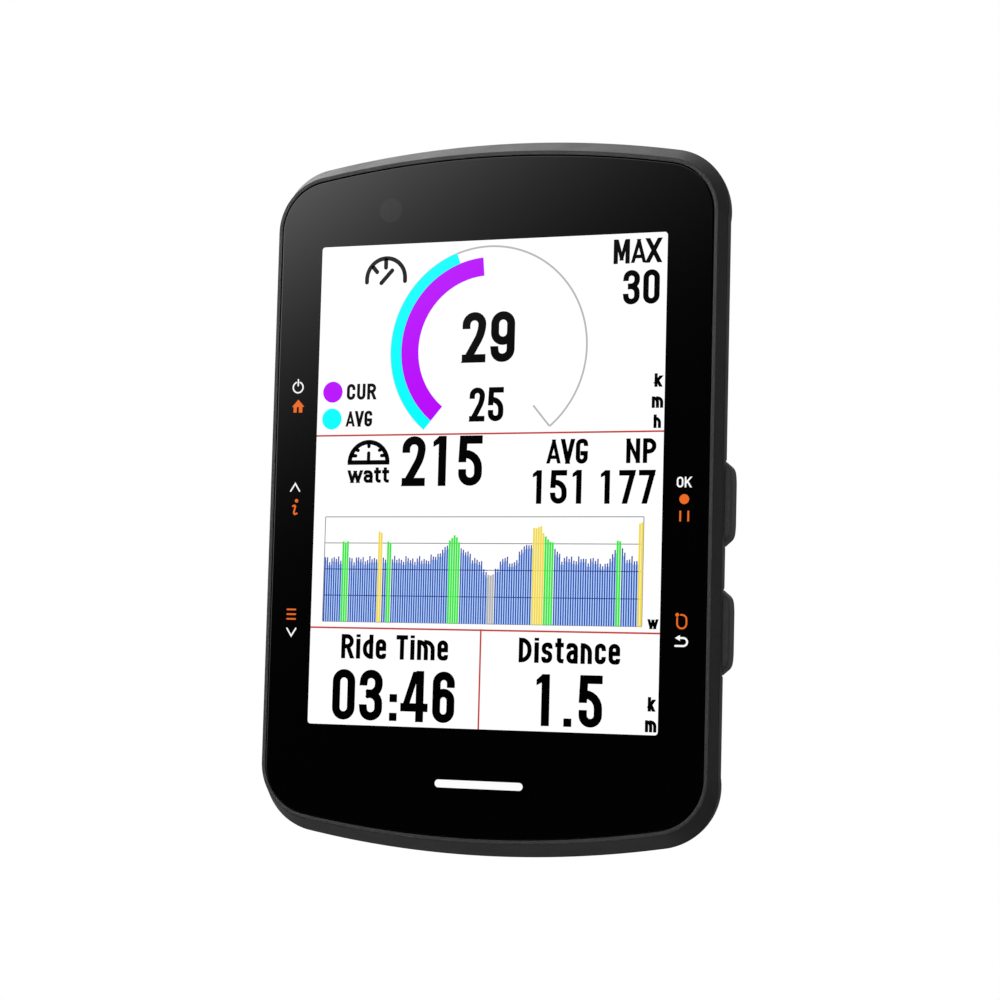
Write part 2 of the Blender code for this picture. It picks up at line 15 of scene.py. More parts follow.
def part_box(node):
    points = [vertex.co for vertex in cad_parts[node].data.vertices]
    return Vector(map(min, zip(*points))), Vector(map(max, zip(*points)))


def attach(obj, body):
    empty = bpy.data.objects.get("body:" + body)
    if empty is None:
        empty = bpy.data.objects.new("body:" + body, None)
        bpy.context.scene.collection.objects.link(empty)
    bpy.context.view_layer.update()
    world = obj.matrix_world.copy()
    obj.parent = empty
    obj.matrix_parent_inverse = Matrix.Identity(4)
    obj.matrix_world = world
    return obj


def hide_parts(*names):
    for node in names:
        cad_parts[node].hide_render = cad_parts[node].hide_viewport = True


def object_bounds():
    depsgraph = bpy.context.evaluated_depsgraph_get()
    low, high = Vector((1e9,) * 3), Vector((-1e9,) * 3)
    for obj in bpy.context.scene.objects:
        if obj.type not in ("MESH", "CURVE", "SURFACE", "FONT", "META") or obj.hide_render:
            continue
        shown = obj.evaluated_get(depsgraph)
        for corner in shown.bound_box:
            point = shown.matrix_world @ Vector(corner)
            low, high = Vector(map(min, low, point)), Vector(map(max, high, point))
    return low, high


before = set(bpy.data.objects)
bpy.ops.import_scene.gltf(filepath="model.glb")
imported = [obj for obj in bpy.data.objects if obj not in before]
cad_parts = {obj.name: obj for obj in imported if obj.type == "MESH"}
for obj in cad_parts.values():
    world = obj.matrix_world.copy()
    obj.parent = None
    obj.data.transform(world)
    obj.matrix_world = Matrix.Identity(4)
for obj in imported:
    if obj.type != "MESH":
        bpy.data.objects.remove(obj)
cad_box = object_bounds()

MM = 0.001
FRONT_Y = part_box("cover_glass")[0].y

Extent = namedtuple("Extent", "left right front back bottom top")


def extent(node):
    """Where a CAD node lies, in millimetres."""
    low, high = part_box(node)
    return Extent(low.x / MM, high.x / MM, (low.y - FRONT_Y) / MM, (high.y - FRONT_Y) / MM,
                  low.z / MM, high.z / MM)


GLASS = extent("cover_glass")
FRAME = extent("front_frame")
COVER = extent("rear_cover")
MOUNT = extent("mount_plate")
FLAP = extent("port_cover")

# The shared outline: straight sides, arched ends, round corners
GLASS_CORNER = 7.2
END_RADIUS = 150.0
CORNER_STEPS = 24
END_STEPS = 32

# Front frame
GLASS_GAP = 0.15
RIM_WIDTH = 0.7
FLARE_DEPTH = 2.9
LEDGE_DEPTH = 1.5
LEDGE_REACH = 3.4
SKIRT_DEPTH = 3.8
SKIRT_OUTER = -1.15
SKIRT_INNER = -2.15
BOSS_RADIUS = 2.8

# Rear cover
COVER_ROUNDING = 5.0
INNER_ROUNDING = 2.6
WALL = 1.5
FLOOR_DEPTH = 11.4
EDGE_EASE = 0.12
CHAMFER = 0.25
SLOT_CLEARANCE = 0.2
SLOT_CORNER = 1.2
SCREW_PAD_RADIUS = 3.2
SCREW_PAD_FRONT = 9.6
HEAD_BORE_RADIUS = 2.1
HEAD_SEAT = 10.8
SHANK_BORE_RADIUS = 1.2
PILOT_RADIUS = 0.95
VENT_RADIUS = 0.5
SOUND_SLOT_PITCH = 1.8
BELOW_PART = -53.0

# Mount
MOUNT_NECK_RADIUS = 11.8
MOUNT_LUG_RADIUS = 15.3
MOUNT_LUG_THICKNESS = 1.6
MOUNT_LUG_HALF_ANGLE = math.radians(32.0)

# Display: the lit area, and the centre that its layout is measured from
LIT_WIDTH = 51.8
LIT_HEIGHT = 69.1
LIT_CORNER = 0.45
DISPLAY_Z = 1.6
LAYER_STEP = 0.014
LAYER_GAP = 0.002
LAYER_FILM = 0.003
STROKE_STEP = 0.002

# Chart on the display: its frame, bars and colour steps
CHART_LEFT, CHART_RIGHT = -24.08, 23.35
CHART_TOP, CHART_BOTTOM = -4.83, -19.86
BAR_COUNT = 137
GRID_LINE = 0.13
# Turning points of the power trace: how far along it, and how high
TRACE = (
    (0.0, 0.60), (0.34, 0.60), (0.375, 0.66), (0.397, 0.73), (0.403, 0.77), (0.42, 0.83), (0.435, 0.76),
    (0.441, 0.71), (0.477, 0.62), (0.493, 0.605), (0.522, 0.50), (0.527, 0.455), (0.546, 0.455),
    (0.552, 0.516), (0.575, 0.62), (0.611, 0.565), (0.619, 0.62), (0.638, 0.735), (0.666, 0.735),
    (0.668, 0.90), (0.695, 0.91), (0.698, 0.826), (0.726, 0.76), (0.732, 0.71), (0.755, 0.62),
    (0.87, 0.60), (0.886, 0.535), (0.901, 0.61), (0.916, 0.705), (0.921, 0.775), (0.932, 0.77),
    (0.939, 0.705), (0.954, 0.62), (1.0, 0.58),
)
# Short efforts: where along the trace, how many bars, and how high
EFFORTS = ((0.067, 3, 0.765), (0.183, 2, 0.86), (0.212, 2, 0.765), (0.994, 2, 0.95))
GREEN_FROM = 0.752
YELLOW_FROM = 0.845
GREY_BELOW = 0.48
BLUE_BAR_SHARE = 0.54
BAR_SHARE = 0.84
# Waves that ruffle the tops of the bars (size, pace, start), the heights between which they are full, and
# the share of them that is left elsewhere
RIPPLES = ((0.020, 2.3, 0.0), (0.015, 5.1, 1.0))
RIPPLED_HEIGHTS = (0.5, 0.66)
CALM_SHARE = 0.3

# Buttons: which side each is on, and how far the flange inside the wall passes the cap
KEYS = {"ok": 1, "back": 1, "power": -1, "up": -1, "menu": -1}
FLANGE_ACROSS = 0.6
FLANGE_ALONG = 1.0
PLUNGER_HALF = 0.9
# Depth below the cap's face of the plunger's tip, the flange's two sides and the foot of the slopes
PLUNGER_TIP, FLANGE_BACK, FLANGE_FRONT, SLOPE_FOOT = 6.25, 4.6, 3.8, 1.5

# Camera: place, heading to the left of straight ahead, tilt up, roll, and lens
CAMERA_PLACE = (98.25, -276.65, -25.47)
CAMERA_HEADING = 19.17
CAMERA_TILT = 3.93
CAMERA_ROLL = 1.49
CAMERA_LENS = 75.46
CAMERA_SHIFT = (0.0033, 0.0319)

# Soft boxes: azimuth, elevation, roll, spread across, spread up (degrees), strength
SOFT_BOXES = (
    (-34.7, 15.1, 35.8, 16.7, 4.7, 9.4),
    (-124.0, 42.0, 0.0, 25.0, 25.0, 3.45),
    (165.0, 0.0, 0.0, 20.0, 20.0, 0.2),
    (-130.0, -64.0, 0.0, 40.0, 40.0, 0.34),
    (80.0, -10.0, 0.0, 32.0, 32.0, 0.24),
)
AMBIENT = 0.01
FILL_STRENGTH = 1.6
FILL_SPREAD = math.radians(50.0)
FILL_FROM = (9.0, 8.0)

# Floor: half its width, and how far below the part it lies, which leaves room for the open flap
FLOOR_HALF = 1500.0
FLOOR_GAP = 8.0


# ---------------------------------------------------------------- geometry helpers

def at(x, depth, z):
    """A point in the model."""
    return Vector((x * MM, FRONT_Y + depth * MM, z * MM))


def centre_of(place):
    """The middle of an extent, as (x, depth, z)."""
    return ((place.left + place.right) / 2, (place.front + place.back) / 2, (place.bottom + place.top) / 2)


def cover_loops(shape, loops, closed=False):
    """Faces between neighbouring loops; the end loops are filled, or joined when closed is set."""
    if closed:
        loops = loops + loops[:1]
    else:
        shape.faces.new(loops[0])
        shape.faces.new(loops[-1])
    for first, second in zip(loops, loops[1:]):
        for i in range(len(first)):
            j = (i + 1) % len(first)
            shape.faces.new((first[i], first[j], second[j], second[i]))


def new_object(name, shape):
    """An object from a bmesh, which is freed."""
    mesh = bpy.data.meshes.new(name)
    shape.to_mesh(mesh)
    shape.free()
    made = bpy.data.objects.new(name, mesh)
    bpy.context.collection.objects.link(made)
    return made


def body(name, rings, closed=False):
    """An object skinned over rings of points: a solid, or a hoop when closed is set."""
    shape = bmesh.new()
    cover_loops(shape, [[shape.verts.new(place) for place in ring] for ring in rings], closed)
    bmesh.ops.remove_doubles(shape, verts=shape.verts, dist=1e-7)
    bmesh.ops.dissolve_degenerate(shape, edges=shape.edges, dist=1e-7)
    bmesh.ops.recalc_face_normals(shape, faces=shape.faces)
    return new_object(name, shape)


def panel_outline(side, end):
    """Points (x, z) of the glass outline grown outwards, anticlockwise from the right side.

    The growth goes gradually from side, at the sides, to end, at the ends.
    """
    arch_centre = GLASS.top - END_RADIUS
    corner_x = GLASS.right - GLASS_CORNER
    corner_z = arch_centre + math.sqrt((END_RADIUS - GLASS_CORNER) ** 2 - corner_x ** 2)
    meeting = math.atan2(corner_z - arch_centre, corner_x)
    sweep = math.pi - 2 * meeting
    spokes = [(corner_x, corner_z, GLASS_CORNER, meeting * i / CORNER_STEPS)
              for i in range(CORNER_STEPS + 1)]
    spokes += [(0.0, arch_centre, END_RADIUS, meeting + sweep * i / END_STEPS)
               for i in range(1, END_STEPS)]
    upper = []
    for x, z, radius, angle in spokes:
        reach = radius + side + (end - side) * math.sin(angle)
        upper.append((x + reach * math.cos(angle), z + reach * math.sin(angle)))
    upper += [(-x, z) for x, z in reversed(upper[:CORNER_STEPS + 1])]
    return upper + [(-x, -z) for x, z in upper]


def panel_ring(side, end, depth):
    """The shared outline at one depth, grown from the glass by side at the sides and end at the ends."""
    return [at(x, depth, z) for x, z in panel_outline(side, end)]


def even_ring(offset, depth):
    """The glass outline grown evenly by offset."""
    return panel_ring(offset, offset, depth)


def cover_ring(inset, depth):
    """The rear cover's outline drawn in by inset."""
    return panel_ring(COVER.right - GLASS.right - inset, COVER.top - GLASS.top - inset, depth)


def arc_points(x, z, radius, start, finish, steps):
    """Points of part of a circle, from one angle to another in degrees."""
    turns = [math.radians(start + (finish - start) * i / steps) for i in range(steps + 1)]
    return [(x + radius * math.cos(a), z + radius * math.sin(a)) for a in turns]


def circle(x, z, radius, steps=32):
    """Points of a circle."""
    return arc_points(x, z, radius, 0, 360, steps)[:-1]


def rounded(x, z, half_width, half_height, corner, steps=8):
    """Points of a rectangle with round corners."""
    outline = []
    for quarter in range(4):
        across = half_width - corner if quarter in (0, 3) else corner - half_width
        up = half_height - corner if quarter in (0, 1) else corner - half_height
        start = 90 * quarter
        outline += arc_points(x + across, z + up, corner, start, start + 90, steps)
    return outline


def prism(name, outline, span, along="depth"):
    """Extrude an outline of (x, z) along the depth, of (depth, z) along x or of (x, depth) along z."""
    ways = {
        "depth": lambda a, b, s: at(a, s, b),
        "x": lambda a, b, s: at(s, a, b),
        "z": lambda a, b, s: at(a, b, s),
    }
    return body(name, [[ways[along](a, b, s) for a, b in outline] for s in span])


def block(name, x_span, depth_span, z_span):
    """A plain block, used to cut with or to keep what is inside."""
    left, right = x_span
    bottom, top = z_span
    return prism(name, [(left, bottom), (right, bottom), (right, top), (left, top)], depth_span)


def turned(name, x, z, profile, steps):
    """A body turned about an axis along the depth; profile is a list of (radius, depth)."""
    return body(name, [[at(a, depth, b) for a, b in circle(x, z, radius, steps)]
                       for radius, depth in profile])


def eased(corners, closed=False, steps=4):
    """Round the corners of a profile: each corner is (values, ease), with ease the length it takes up."""
    profile = []
    count = len(corners)
    for i, (values, ease) in enumerate(corners):
        here = Vector(values)
        if not ease or (not closed and i in (0, count - 1)):
            profile.append(here)
            continue
        before = Vector(corners[i - 1][0])
        after = Vector(corners[(i + 1) % count][0])
        start = here + (before - here).normalized() * ease
        finish = here + (after - here).normalized() * ease
        for step in range(steps + 1):
            t = step / steps
            profile.append(start.lerp(here, t).lerp(here.lerp(finish, t), t))
    return profile


def combine(target, tools, operation):
    """Join tools to target, cut them out of it, or keep what they share, and remove the tools."""
    group = bpy.data.collections.new("tools")
    bpy.context.scene.collection.children.link(group)
    for tool in tools:
        bpy.context.collection.objects.unlink(tool)
        group.objects.link(tool)
    change = target.modifiers.new(operation.lower(), "BOOLEAN")
    change.operation = operation
    change.solver = "EXACT"
    change.operand_type = "COLLECTION"
    change.collection = group
    bpy.context.view_layer.update()
    depsgraph = bpy.context.evaluated_depsgraph_get()
    result = bpy.data.meshes.new_from_object(target.evaluated_get(depsgraph))
    target.modifiers.clear()
    old = target.data
    target.data = result
    bpy.data.meshes.remove(old)
    for tool in tools:
        bpy.data.objects.remove(tool)
    bpy.data.collections.remove(group)


def place_piece(piece, finish, rides_on, slot, *replaced):
    """Give a finished piece its material and its body, and hide the CAD nodes it stands for; slot is not
    used.
    """
    piece.data.materials.clear()
    piece.data.materials.append(finish)
    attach(piece, rides_on)
    if replaced:
        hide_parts(*replaced)


def soften(piece, angle=32.0):
    """Shade curved faces smooth, keep sharper edges crisp, and let broad flat faces stay flat."""
    piece.data.shade_smooth()
    piece.data.set_sharp_from_angle(angle=math.radians(angle))
    shading = piece.modifiers.new("flat_faces", "WEIGHTED_NORMAL")
    shading.keep_sharp = True
    shading.weight = 100
    return piece


# ---------------------------------------------------------------- materials

class Nodes:
    """The node tree of a material or world, with short ways to add nodes and to join them."""

    def __init__(self, owner):
        owner.use_nodes = True
        self.owner = owner
        self.tree = owner.node_tree
        self.shader = self.tree.nodes.get("Principled BSDF")

    def feed(self, socket, value):
        """Set a socket to a value, or link another node's output to it."""
        if isinstance(value, bpy.types.NodeSocket):
            self.tree.links.new(value, socket)
        else:
            socket.default_value = value

    def add(self, kind, inputs, **settings):
        """A new node; inputs gives each socket a value or another node's output."""
        node = self.tree.nodes.new("ShaderNode" + kind)
        for name, value in settings.items():
            setattr(node, name, value)
        for socket, value in inputs.items():
            self.feed(node.inputs[socket], value)
        return node

    def surface(self, name, value):
        """Set or drive one input of the Principled shader."""
        self.feed(self.shader.inputs[name], value)

    def coordinates(self, kind):
        """Texture coordinates of one kind."""
        return self.add("TexCoord", {}).outputs[kind]

    def noise(self, size, detail=3.0, stretch=1.0):
        """Noise in the object's own space, with features of about size millimetres, stretched along x."""
        scale = {"Vector": self.coordinates("Object"), "Scale": (1.0 / stretch, 1.0, 1.0)}
        place = self.add("Mapping", scale).outputs["Vector"]
        pattern = {"Vector": place, "Scale": 1.0 / (size * MM), "Detail": detail}
        return self.add("TexNoise", pattern).outputs["Fac"]

    def spread(self, value, low, high):
        """Map a value from noise to a range."""
        limits = {"Value": value, "From Min": 0.3, "From Max": 0.7, "To Min": low, "To Max": high}
        return self.add("MapRange", limits).outputs["Result"]

    def blend_colours(self, factor, first, second):
        """Let a factor blend the base colour from one colour to another."""
        ends = {"Factor": factor, "A": (*first, 1.0), "B": (*second, 1.0)}
        self.surface("Base Color", self.add("Mix", ends, data_type="RGBA").outputs["Result"])

    def bump(self, pattern, height, rounding=0.0):
        """Bump the surface by a pattern; rounding softens the light on sharp edges, in millimetres."""
        inputs = {"Strength": 1.0, "Distance": height * MM, "Height": pattern}
        if rounding:
            inputs["Normal"] = self.add("Bevel", {"Radius": rounding * MM}, samples=4).outputs["Normal"]
        self.surface("Normal", self.add("Bump", inputs).outputs["Normal"])

    def calculate(self, operation, first, second):
        """A sum over two values, each a number or another node's output."""
        return self.add("Math", {0: first, 1: second}, operation=operation).outputs[0]

    def dot(self, ray, axis):
        """How far a ray goes along an axis."""
        return self.add("VectorMath", {0: ray, 1: axis}, operation="DOT_PRODUCT").outputs["Value"]


def new_material(name, colour, roughness, metallic=0.0):
    """The nodes of a new material with a Principled shader."""
    nodes = Nodes(bpy.data.materials.new(name))
    nodes.surface("Base Color", (*colour, 1.0))
    nodes.surface("Roughness", roughness)
    nodes.surface("Metallic", metallic)
    return nodes


def moulded(name, colour, roughness, grain_size, grain_height, rounding=0.08, sheen=0.0):
    """Moulded plastic or rubber: fine grain, with slightly uneven gloss and shade."""
    patch_size, gloss_size = 9.0, 4.0
    speck_share, shade_change, gloss_change = 0.75, 0.35, 0.04
    nodes = new_material(name, colour, roughness)
    nodes.surface("Sheen Weight", sheen)
    layers = {"Factor": speck_share, "A": nodes.noise(patch_size), "B": nodes.noise(grain_size)}
    shade = nodes.spread(nodes.add("Mix", layers).outputs["Result"], 0.0, 1.0)
    darker = [share * (1 - shade_change) for share in colour]
    lighter = [min(share * (1 + shade_change), 1.0) for share in colour]
    nodes.blend_colours(shade, darker, lighter)
    gloss = nodes.spread(nodes.noise(gloss_size), roughness - gloss_change, roughness + gloss_change)
    nodes.surface("Roughness", gloss)
    nodes.bump(nodes.noise(grain_size, detail=2.0), grain_height, rounding)
    return nodes.owner


def black_glass():
    """Cover glass with black print behind it: deep black, polished, faintly uneven."""
    nodes = new_material("black_glass", (0.0006, 0.0006, 0.0007), 0.03)
    nodes.surface("Roughness", nodes.spread(nodes.noise(12.0), 0.02, 0.05))
    return nodes.owner


def glowing(name, colour, strength=1.0):
    """A flat lit colour under the polished glass."""
    nodes = new_material(name, (0.0, 0.0, 0.0), 0.03)
    nodes.surface("Emission Color", (*colour, 1.0))
    nodes.surface("Emission Strength", strength)
    return nodes.owner


def backlight():
    """The white page: light that is even to a fiftieth, as a lit panel has."""
    nodes = Nodes(glowing("backlight", (1.0, 1.0, 1.0)))
    nodes.surface("Emission Strength", nodes.spread(nodes.noise(40.0, detail=1.0), 1.0, 1.02))
    return nodes.owner


def metal(name, colour, roughness, grain_size, stretch):
    """Metal with fine drawn lines; stretch sets how much longer the lines are than wide."""
    nodes = new_material(name, colour, roughness, metallic=1.0)
    lines = nodes.noise(grain_size, 2.0, stretch)
    nodes.surface("Roughness", nodes.spread(lines, roughness - 0.08, roughness + 0.08))
    nodes.bump(lines, 0.004)
    return nodes.owner


def circuit_board():
    """Green solder mask, a little lighter over copper."""
    green, over_copper = (0.012, 0.13, 0.06), (0.02, 0.22, 0.10)
    nodes = new_material("circuit_board", green, 0.35)
    grid = {"Vector": nodes.coordinates("Object"), "Scale": 1.0 / (2.5 * MM)}
    cells = nodes.add("TexVoronoi", grid, distance="CHEBYCHEV").outputs["Distance"]
    nodes.blend_colours(cells, green, over_copper)
    return nodes.owner


PLASTIC = moulded("satin_black_plastic", (0.030, 0.030, 0.031), 0.44, 0.24, 0.050)
COVER_PLASTIC = moulded("matte_black_plastic", (0.032, 0.032, 0.033), 0.50, 0.20, 0.018)
RUBBER = moulded("black_rubber", (0.066, 0.066, 0.067), 0.60, 0.20, 0.016, sheen=0.08)
GLASS_BLACK = black_glass()
BACKLIGHT = backlight()
BLACK_STEEL = metal("black_steel", (0.10, 0.10, 0.105), 0.34, 0.15, 4.0)

CAD_FINISHES = {
    "housing_plastic": COVER_PLASTIC,
    "rubber": RUBBER,
    "cover_glass": GLASS_BLACK,
    "foam_and_tape": moulded("dark_foam", (0.05, 0.05, 0.052), 0.9, 0.35, 0.08, rounding=0.0),
    "display": moulded("panel_film", (0.55, 0.57, 0.60), 0.25, 2.0, 0.001, rounding=0.0),
    "sheet_steel": metal("sheet_steel", (0.62, 0.63, 0.65), 0.32, 0.10, 12.0),
    "flex_circuit": moulded("flex_film", (0.62, 0.30, 0.06), 0.40, 0.8, 0.006, rounding=0.0),
    "circuit_board": circuit_board(),
    "chip": moulded("chip_resin", (0.025, 0.025, 0.028), 0.48, 0.10, 0.006, rounding=0.0),
    "ceramic": moulded("cream_ceramic", (0.74, 0.70, 0.60), 0.5, 0.25, 0.008, rounding=0.0),
    "battery_foil": metal("battery_foil", (0.70, 0.71, 0.73), 0.34, 0.9, 1.5),
    "brass": metal("brass", (0.78, 0.58, 0.26), 0.28, 0.12, 3.0),
    "black_steel": BLACK_STEEL,
}


# ---------------------------------------------------------------- housing

def screw_places(kind):
    """Axis (x, z) of each of the four screws of a kind, by node name."""
    places = {}
    for number in range(1, 5):
        x, _, z = centre_of(extent(f"{kind}_screw_{number}"))
        places[f"{kind}_screw_{number}"] = (x, z)
    return places


CASE_SCREWS = screw_places("case")
MOUNT_SCREWS = screw_places("mount")


def front_frame():
    """Rim, flared wall, ledge under the glass, skirt and screw bosses, with eased edges."""
    def even(offset, depth, ease=0.0):
        return (offset, offset, depth), ease

    flare = (FRAME.right - GLASS.right, FRAME.top - GLASS.top, FLARE_DEPTH)
    corners = [
        even(GLASS_GAP, 0.0, 0.05),
        even(RIM_WIDTH, 0.0, 0.14),
        (flare, 0.34),
        even(SKIRT_OUTER, FLARE_DEPTH),
        even(SKIRT_OUTER, SKIRT_DEPTH, 0.1),
        even(SKIRT_INNER, SKIRT_DEPTH, 0.1),
        even(SKIRT_INNER, FLARE_DEPTH),
        even(-LEDGE_REACH, FLARE_DEPTH),
        even(-LEDGE_REACH, LEDGE_DEPTH, 0.1),
        even(GLASS_GAP, LEDGE_DEPTH),
    ]
    piece = body("front_frame_shell", [panel_ring(*values) for values in eased(corners, closed=True)], True)
    places = CASE_SCREWS.values()
    combine(piece, [prism("boss", circle(x, z, BOSS_RADIUS), (1.8, 9.3)) for x, z in places], "UNION")
    bores = [turned("bore", x, z, [(1.15, 4.0), (1.15, 5.4), (1.65, 5.4), (1.65, 9.6)], 32)
             for x, z in places]
    combine(piece, bores, "DIFFERENCE")
    place_piece(soften(piece), PLASTIC, "housing", "housing_plastic", "front_frame")


def cover_profile(start_inset, rounding, back, steps):
    """(inset, depth) pairs of a wall that runs back from the shut line and rounds over to a flat floor."""
    turns = [math.pi / 2 * i / steps for i in range(steps + 1)]
    return [(start_inset + rounding * (1 - math.cos(a)), COVER.front + (back - COVER.front) * math.sin(a))
            for a in turns]


def cover_outside():
    """The rear cover's outer profile, with its front edge eased."""
    profile = [(inset, depth) for inset, depth in cover_profile(0.0, COVER_ROUNDING, COVER.back, 28)
               if depth > COVER.front + EDGE_EASE]
    edge = [(EDGE_EASE, COVER.front), (EDGE_EASE * 0.3, COVER.front + EDGE_EASE * 0.3),
            (0.0, COVER.front + EDGE_EASE)]
    return edge + profile


def rear_bore(x, z, radius, start, steps=32):
    """A cutter for a round hole in the back, with a chamfered mouth."""
    beyond = 1.0
    profile = [(radius, start), (radius, COVER.back - CHAMFER),
               (radius + CHAMFER + beyond, COVER.back + beyond)]
    return turned("bore", x, z, profile, steps)


def rear_cover():
    """Rear shell with button slots, screw seats, mount seat, charging port, vent and sound holes."""
    profile = cover_outside()[::-1] + cover_profile(WALL, INNER_ROUNDING, FLOOR_DEPTH, 10)
    piece = body("rear_cover_shell", [cover_ring(inset, depth) for inset, depth in profile])
    pads = [
        prism("mount_pad", circle(0, 0, MOUNT.right + 2.0, 64), (10.0, FLOOR_DEPTH + 0.2)),
        block("port_block", (-9.2, 9.2), (4.3, 8.0), (-49.6, -47.6)),
        block("port_block", (-9.2, 9.2), (7.0, 9.9), (-48.9, -47.6)),
    ]
    pads += [prism("screw_pad", circle(x, z, SCREW_PAD_RADIUS), (SCREW_PAD_FRONT, FLOOR_DEPTH + 0.2))
             for x, z in CASE_SCREWS.values()]
    combine(piece, pads, "UNION")
    combine(piece, cover_cutters(), "DIFFERENCE")
    place_piece(soften(piece), COVER_PLASTIC, "housing", "housing_plastic", "rear_cover")


def cover_cutters():
    """Everything that is cut out of the rear cover."""
    cutters = [turned("mount_seat", 0, 0, [(MOUNT.right + GLASS_GAP, FLOOR_DEPTH + 0.2),
                                           (MOUNT.right + GLASS_GAP, COVER.back + 0.5)], 96)]
    cutters += [prism("pilot", circle(x, z, PILOT_RADIUS, 16), (10.3, 12.0))
                for x, z in MOUNT_SCREWS.values()]
    for x, z in CASE_SCREWS.values():
        cutters.append(rear_bore(x, z, HEAD_BORE_RADIUS, HEAD_SEAT))
        cutters.append(prism("shank_bore", circle(x, z, SHANK_BORE_RADIUS, 24), (9.0, 11.0)))
    for name, side in KEYS.items():
        cutters.append(key_slot(extent(f"{name}_button"), side))
    socket = extent("usb_connector")
    mouth = rounded(0, centre_of(socket)[1], socket.right + 0.43, 1.6, 1.5)
    cutters.append(prism("port", mouth, (-52.0, -46.5), along="z"))
    cutters.append(block("flap_seat", (FLAP.left - 0.2, FLAP.right + 0.2),
                         (FLAP.front - 0.2, FLAP.back + 0.3), (BELOW_PART, -48.7)))
    membrane = centre_of(extent("vent_membrane"))
    for turn in (0.5, 2.6, 4.7):
        x = membrane[0] + 1.5 * math.cos(turn)
        z = membrane[2] + 1.5 * math.sin(turn)
        cutters.append(rear_bore(x, z, VENT_RADIUS, 11.0, 24))
    buzzer = centre_of(extent("buzzer"))
    for row in (-1, 0, 1):
        slot = rounded(buzzer[0], buzzer[2] + SOUND_SLOT_PITCH * row, 2.6, 0.45, 0.44)
        cutters.append(prism("sound_slot", slot, (11.0, 13.5)))
    return cutters


def key_slot(cap, side):
    """The cutter for one button's slot; the cap's flange is larger than its body."""
    _, depth, z = centre_of(cap)
    half_depth = (cap.back - cap.front) / 2 - FLANGE_ACROSS + SLOT_CLEARANCE
    half_length = (cap.top - cap.bottom) / 2 - FLANGE_ALONG + SLOT_CLEARANCE
    return prism("slot", rounded(depth, z, half_depth, half_length, SLOT_CORNER),
                 (side * 29.5, side * 35.5), along="x")


# Screws from tip to head and down into the recess: radius, depth, height of the recess lobes
CASE_SCREW = ((0.6, 4.6, 0), (0.95, 5.0, 0), (0.95, 10.95, 0), (1.85, 10.95, 0), (1.85, 11.9, 0),
              (1.75, 12.15, 0), (1.5, 12.3, 0), (0.92, 12.3, 0.12), (0.85, 12.2, 0.12), (0.85, 11.4, 0.12))
MOUNT_SCREW = ((0.5, 10.5, 0), (0.75, 10.8, 0), (0.75, 14.95, 0), (1.55, 14.95, 0), (1.55, 15.7, 0),
               (1.45, 15.9, 0), (1.2, 16.0, 0), (0.76, 16.0, 0.12), (0.70, 15.9, 0.12), (0.70, 15.2, 0.12))
RECESS_LOBES = 6
SCREW_STEPS = 72


def screw(name, x, z, profile):
    """A pan-head screw with a lobed recess."""
    rings = []
    for radius, depth, lobe in profile:
        ring = []
        for i in range(SCREW_STEPS):
            a = math.tau * i / SCREW_STEPS
            reach = radius * (1 + lobe * math.cos(RECESS_LOBES * a))
            ring.append(at(x + reach * math.cos(a), depth, z + reach * math.sin(a)))
        rings.append(ring)
    place_piece(soften(body(f"{name}_head", rings)), BLACK_STEEL, "housing", "black_steel", name)


def fasteners():
    """The case screws and the mount screws."""
    for places, profile in ((CASE_SCREWS, CASE_SCREW), (MOUNT_SCREWS, MOUNT_SCREW)):
        for name, (x, z) in places.items():
            screw(name, x, z, profile)


def mount_plate():
    """Quarter-turn mount: a base sunk in the rear cover, a round neck and two lugs with eased edges."""
    lug_steps, gap_steps = 32, 40
    half = MOUNT_LUG_HALF_ANGLE
    gap = math.pi - 2 * half
    spokes = []
    for middle in (0.0, math.pi):
        spokes += [(middle - half + 2 * half * i / lug_steps, True) for i in range(lug_steps + 1)]
        spokes += [(middle + half + gap * i / gap_steps, False) for i in range(gap_steps + 1)]

    def ring(lug_radius, neck_radius, depth):
        points = []
        for angle, on_lug in spokes:
            radius = lug_radius if on_lug else neck_radius
            points.append(at(radius * math.cos(angle), depth, radius * math.sin(angle)))
        return points

    base, neck, lug = MOUNT.right, MOUNT_NECK_RADIUS, MOUNT_LUG_RADIUS
    lug_front = MOUNT.back - MOUNT_LUG_THICKNESS
    rings = [
        ring(base, base, MOUNT.front),
        ring(base, base, COVER.back - 0.2),
        ring(base - 0.2, base - 0.2, COVER.back),
        ring(neck + 0.3, neck + 0.3, COVER.back),
        ring(neck, neck, COVER.back + 0.3),
        ring(neck, neck, lug_front),
        ring(lug - 0.3, neck, lug_front),
        ring(lug, neck, lug_front + 0.3),
        ring(lug, neck, MOUNT.back - 0.3),
        ring(lug - 0.3, neck - 0.3, MOUNT.back),
    ]
    piece = body("mount_shape", rings)
    bore = [(1.0, 11.0), (1.0, 14.8), (1.8, 14.8), (1.8, MOUNT.back - 0.2), (2.5, MOUNT.back + 0.5)]
    combine(piece, [turned("bore", x, z, bore, 40) for x, z in MOUNT_SCREWS.values()], "DIFFERENCE")
    place_piece(soften(piece), PLASTIC, "housing", "housing_plastic", "mount_plate")


# ---------------------------------------------------------------- buttons and flap

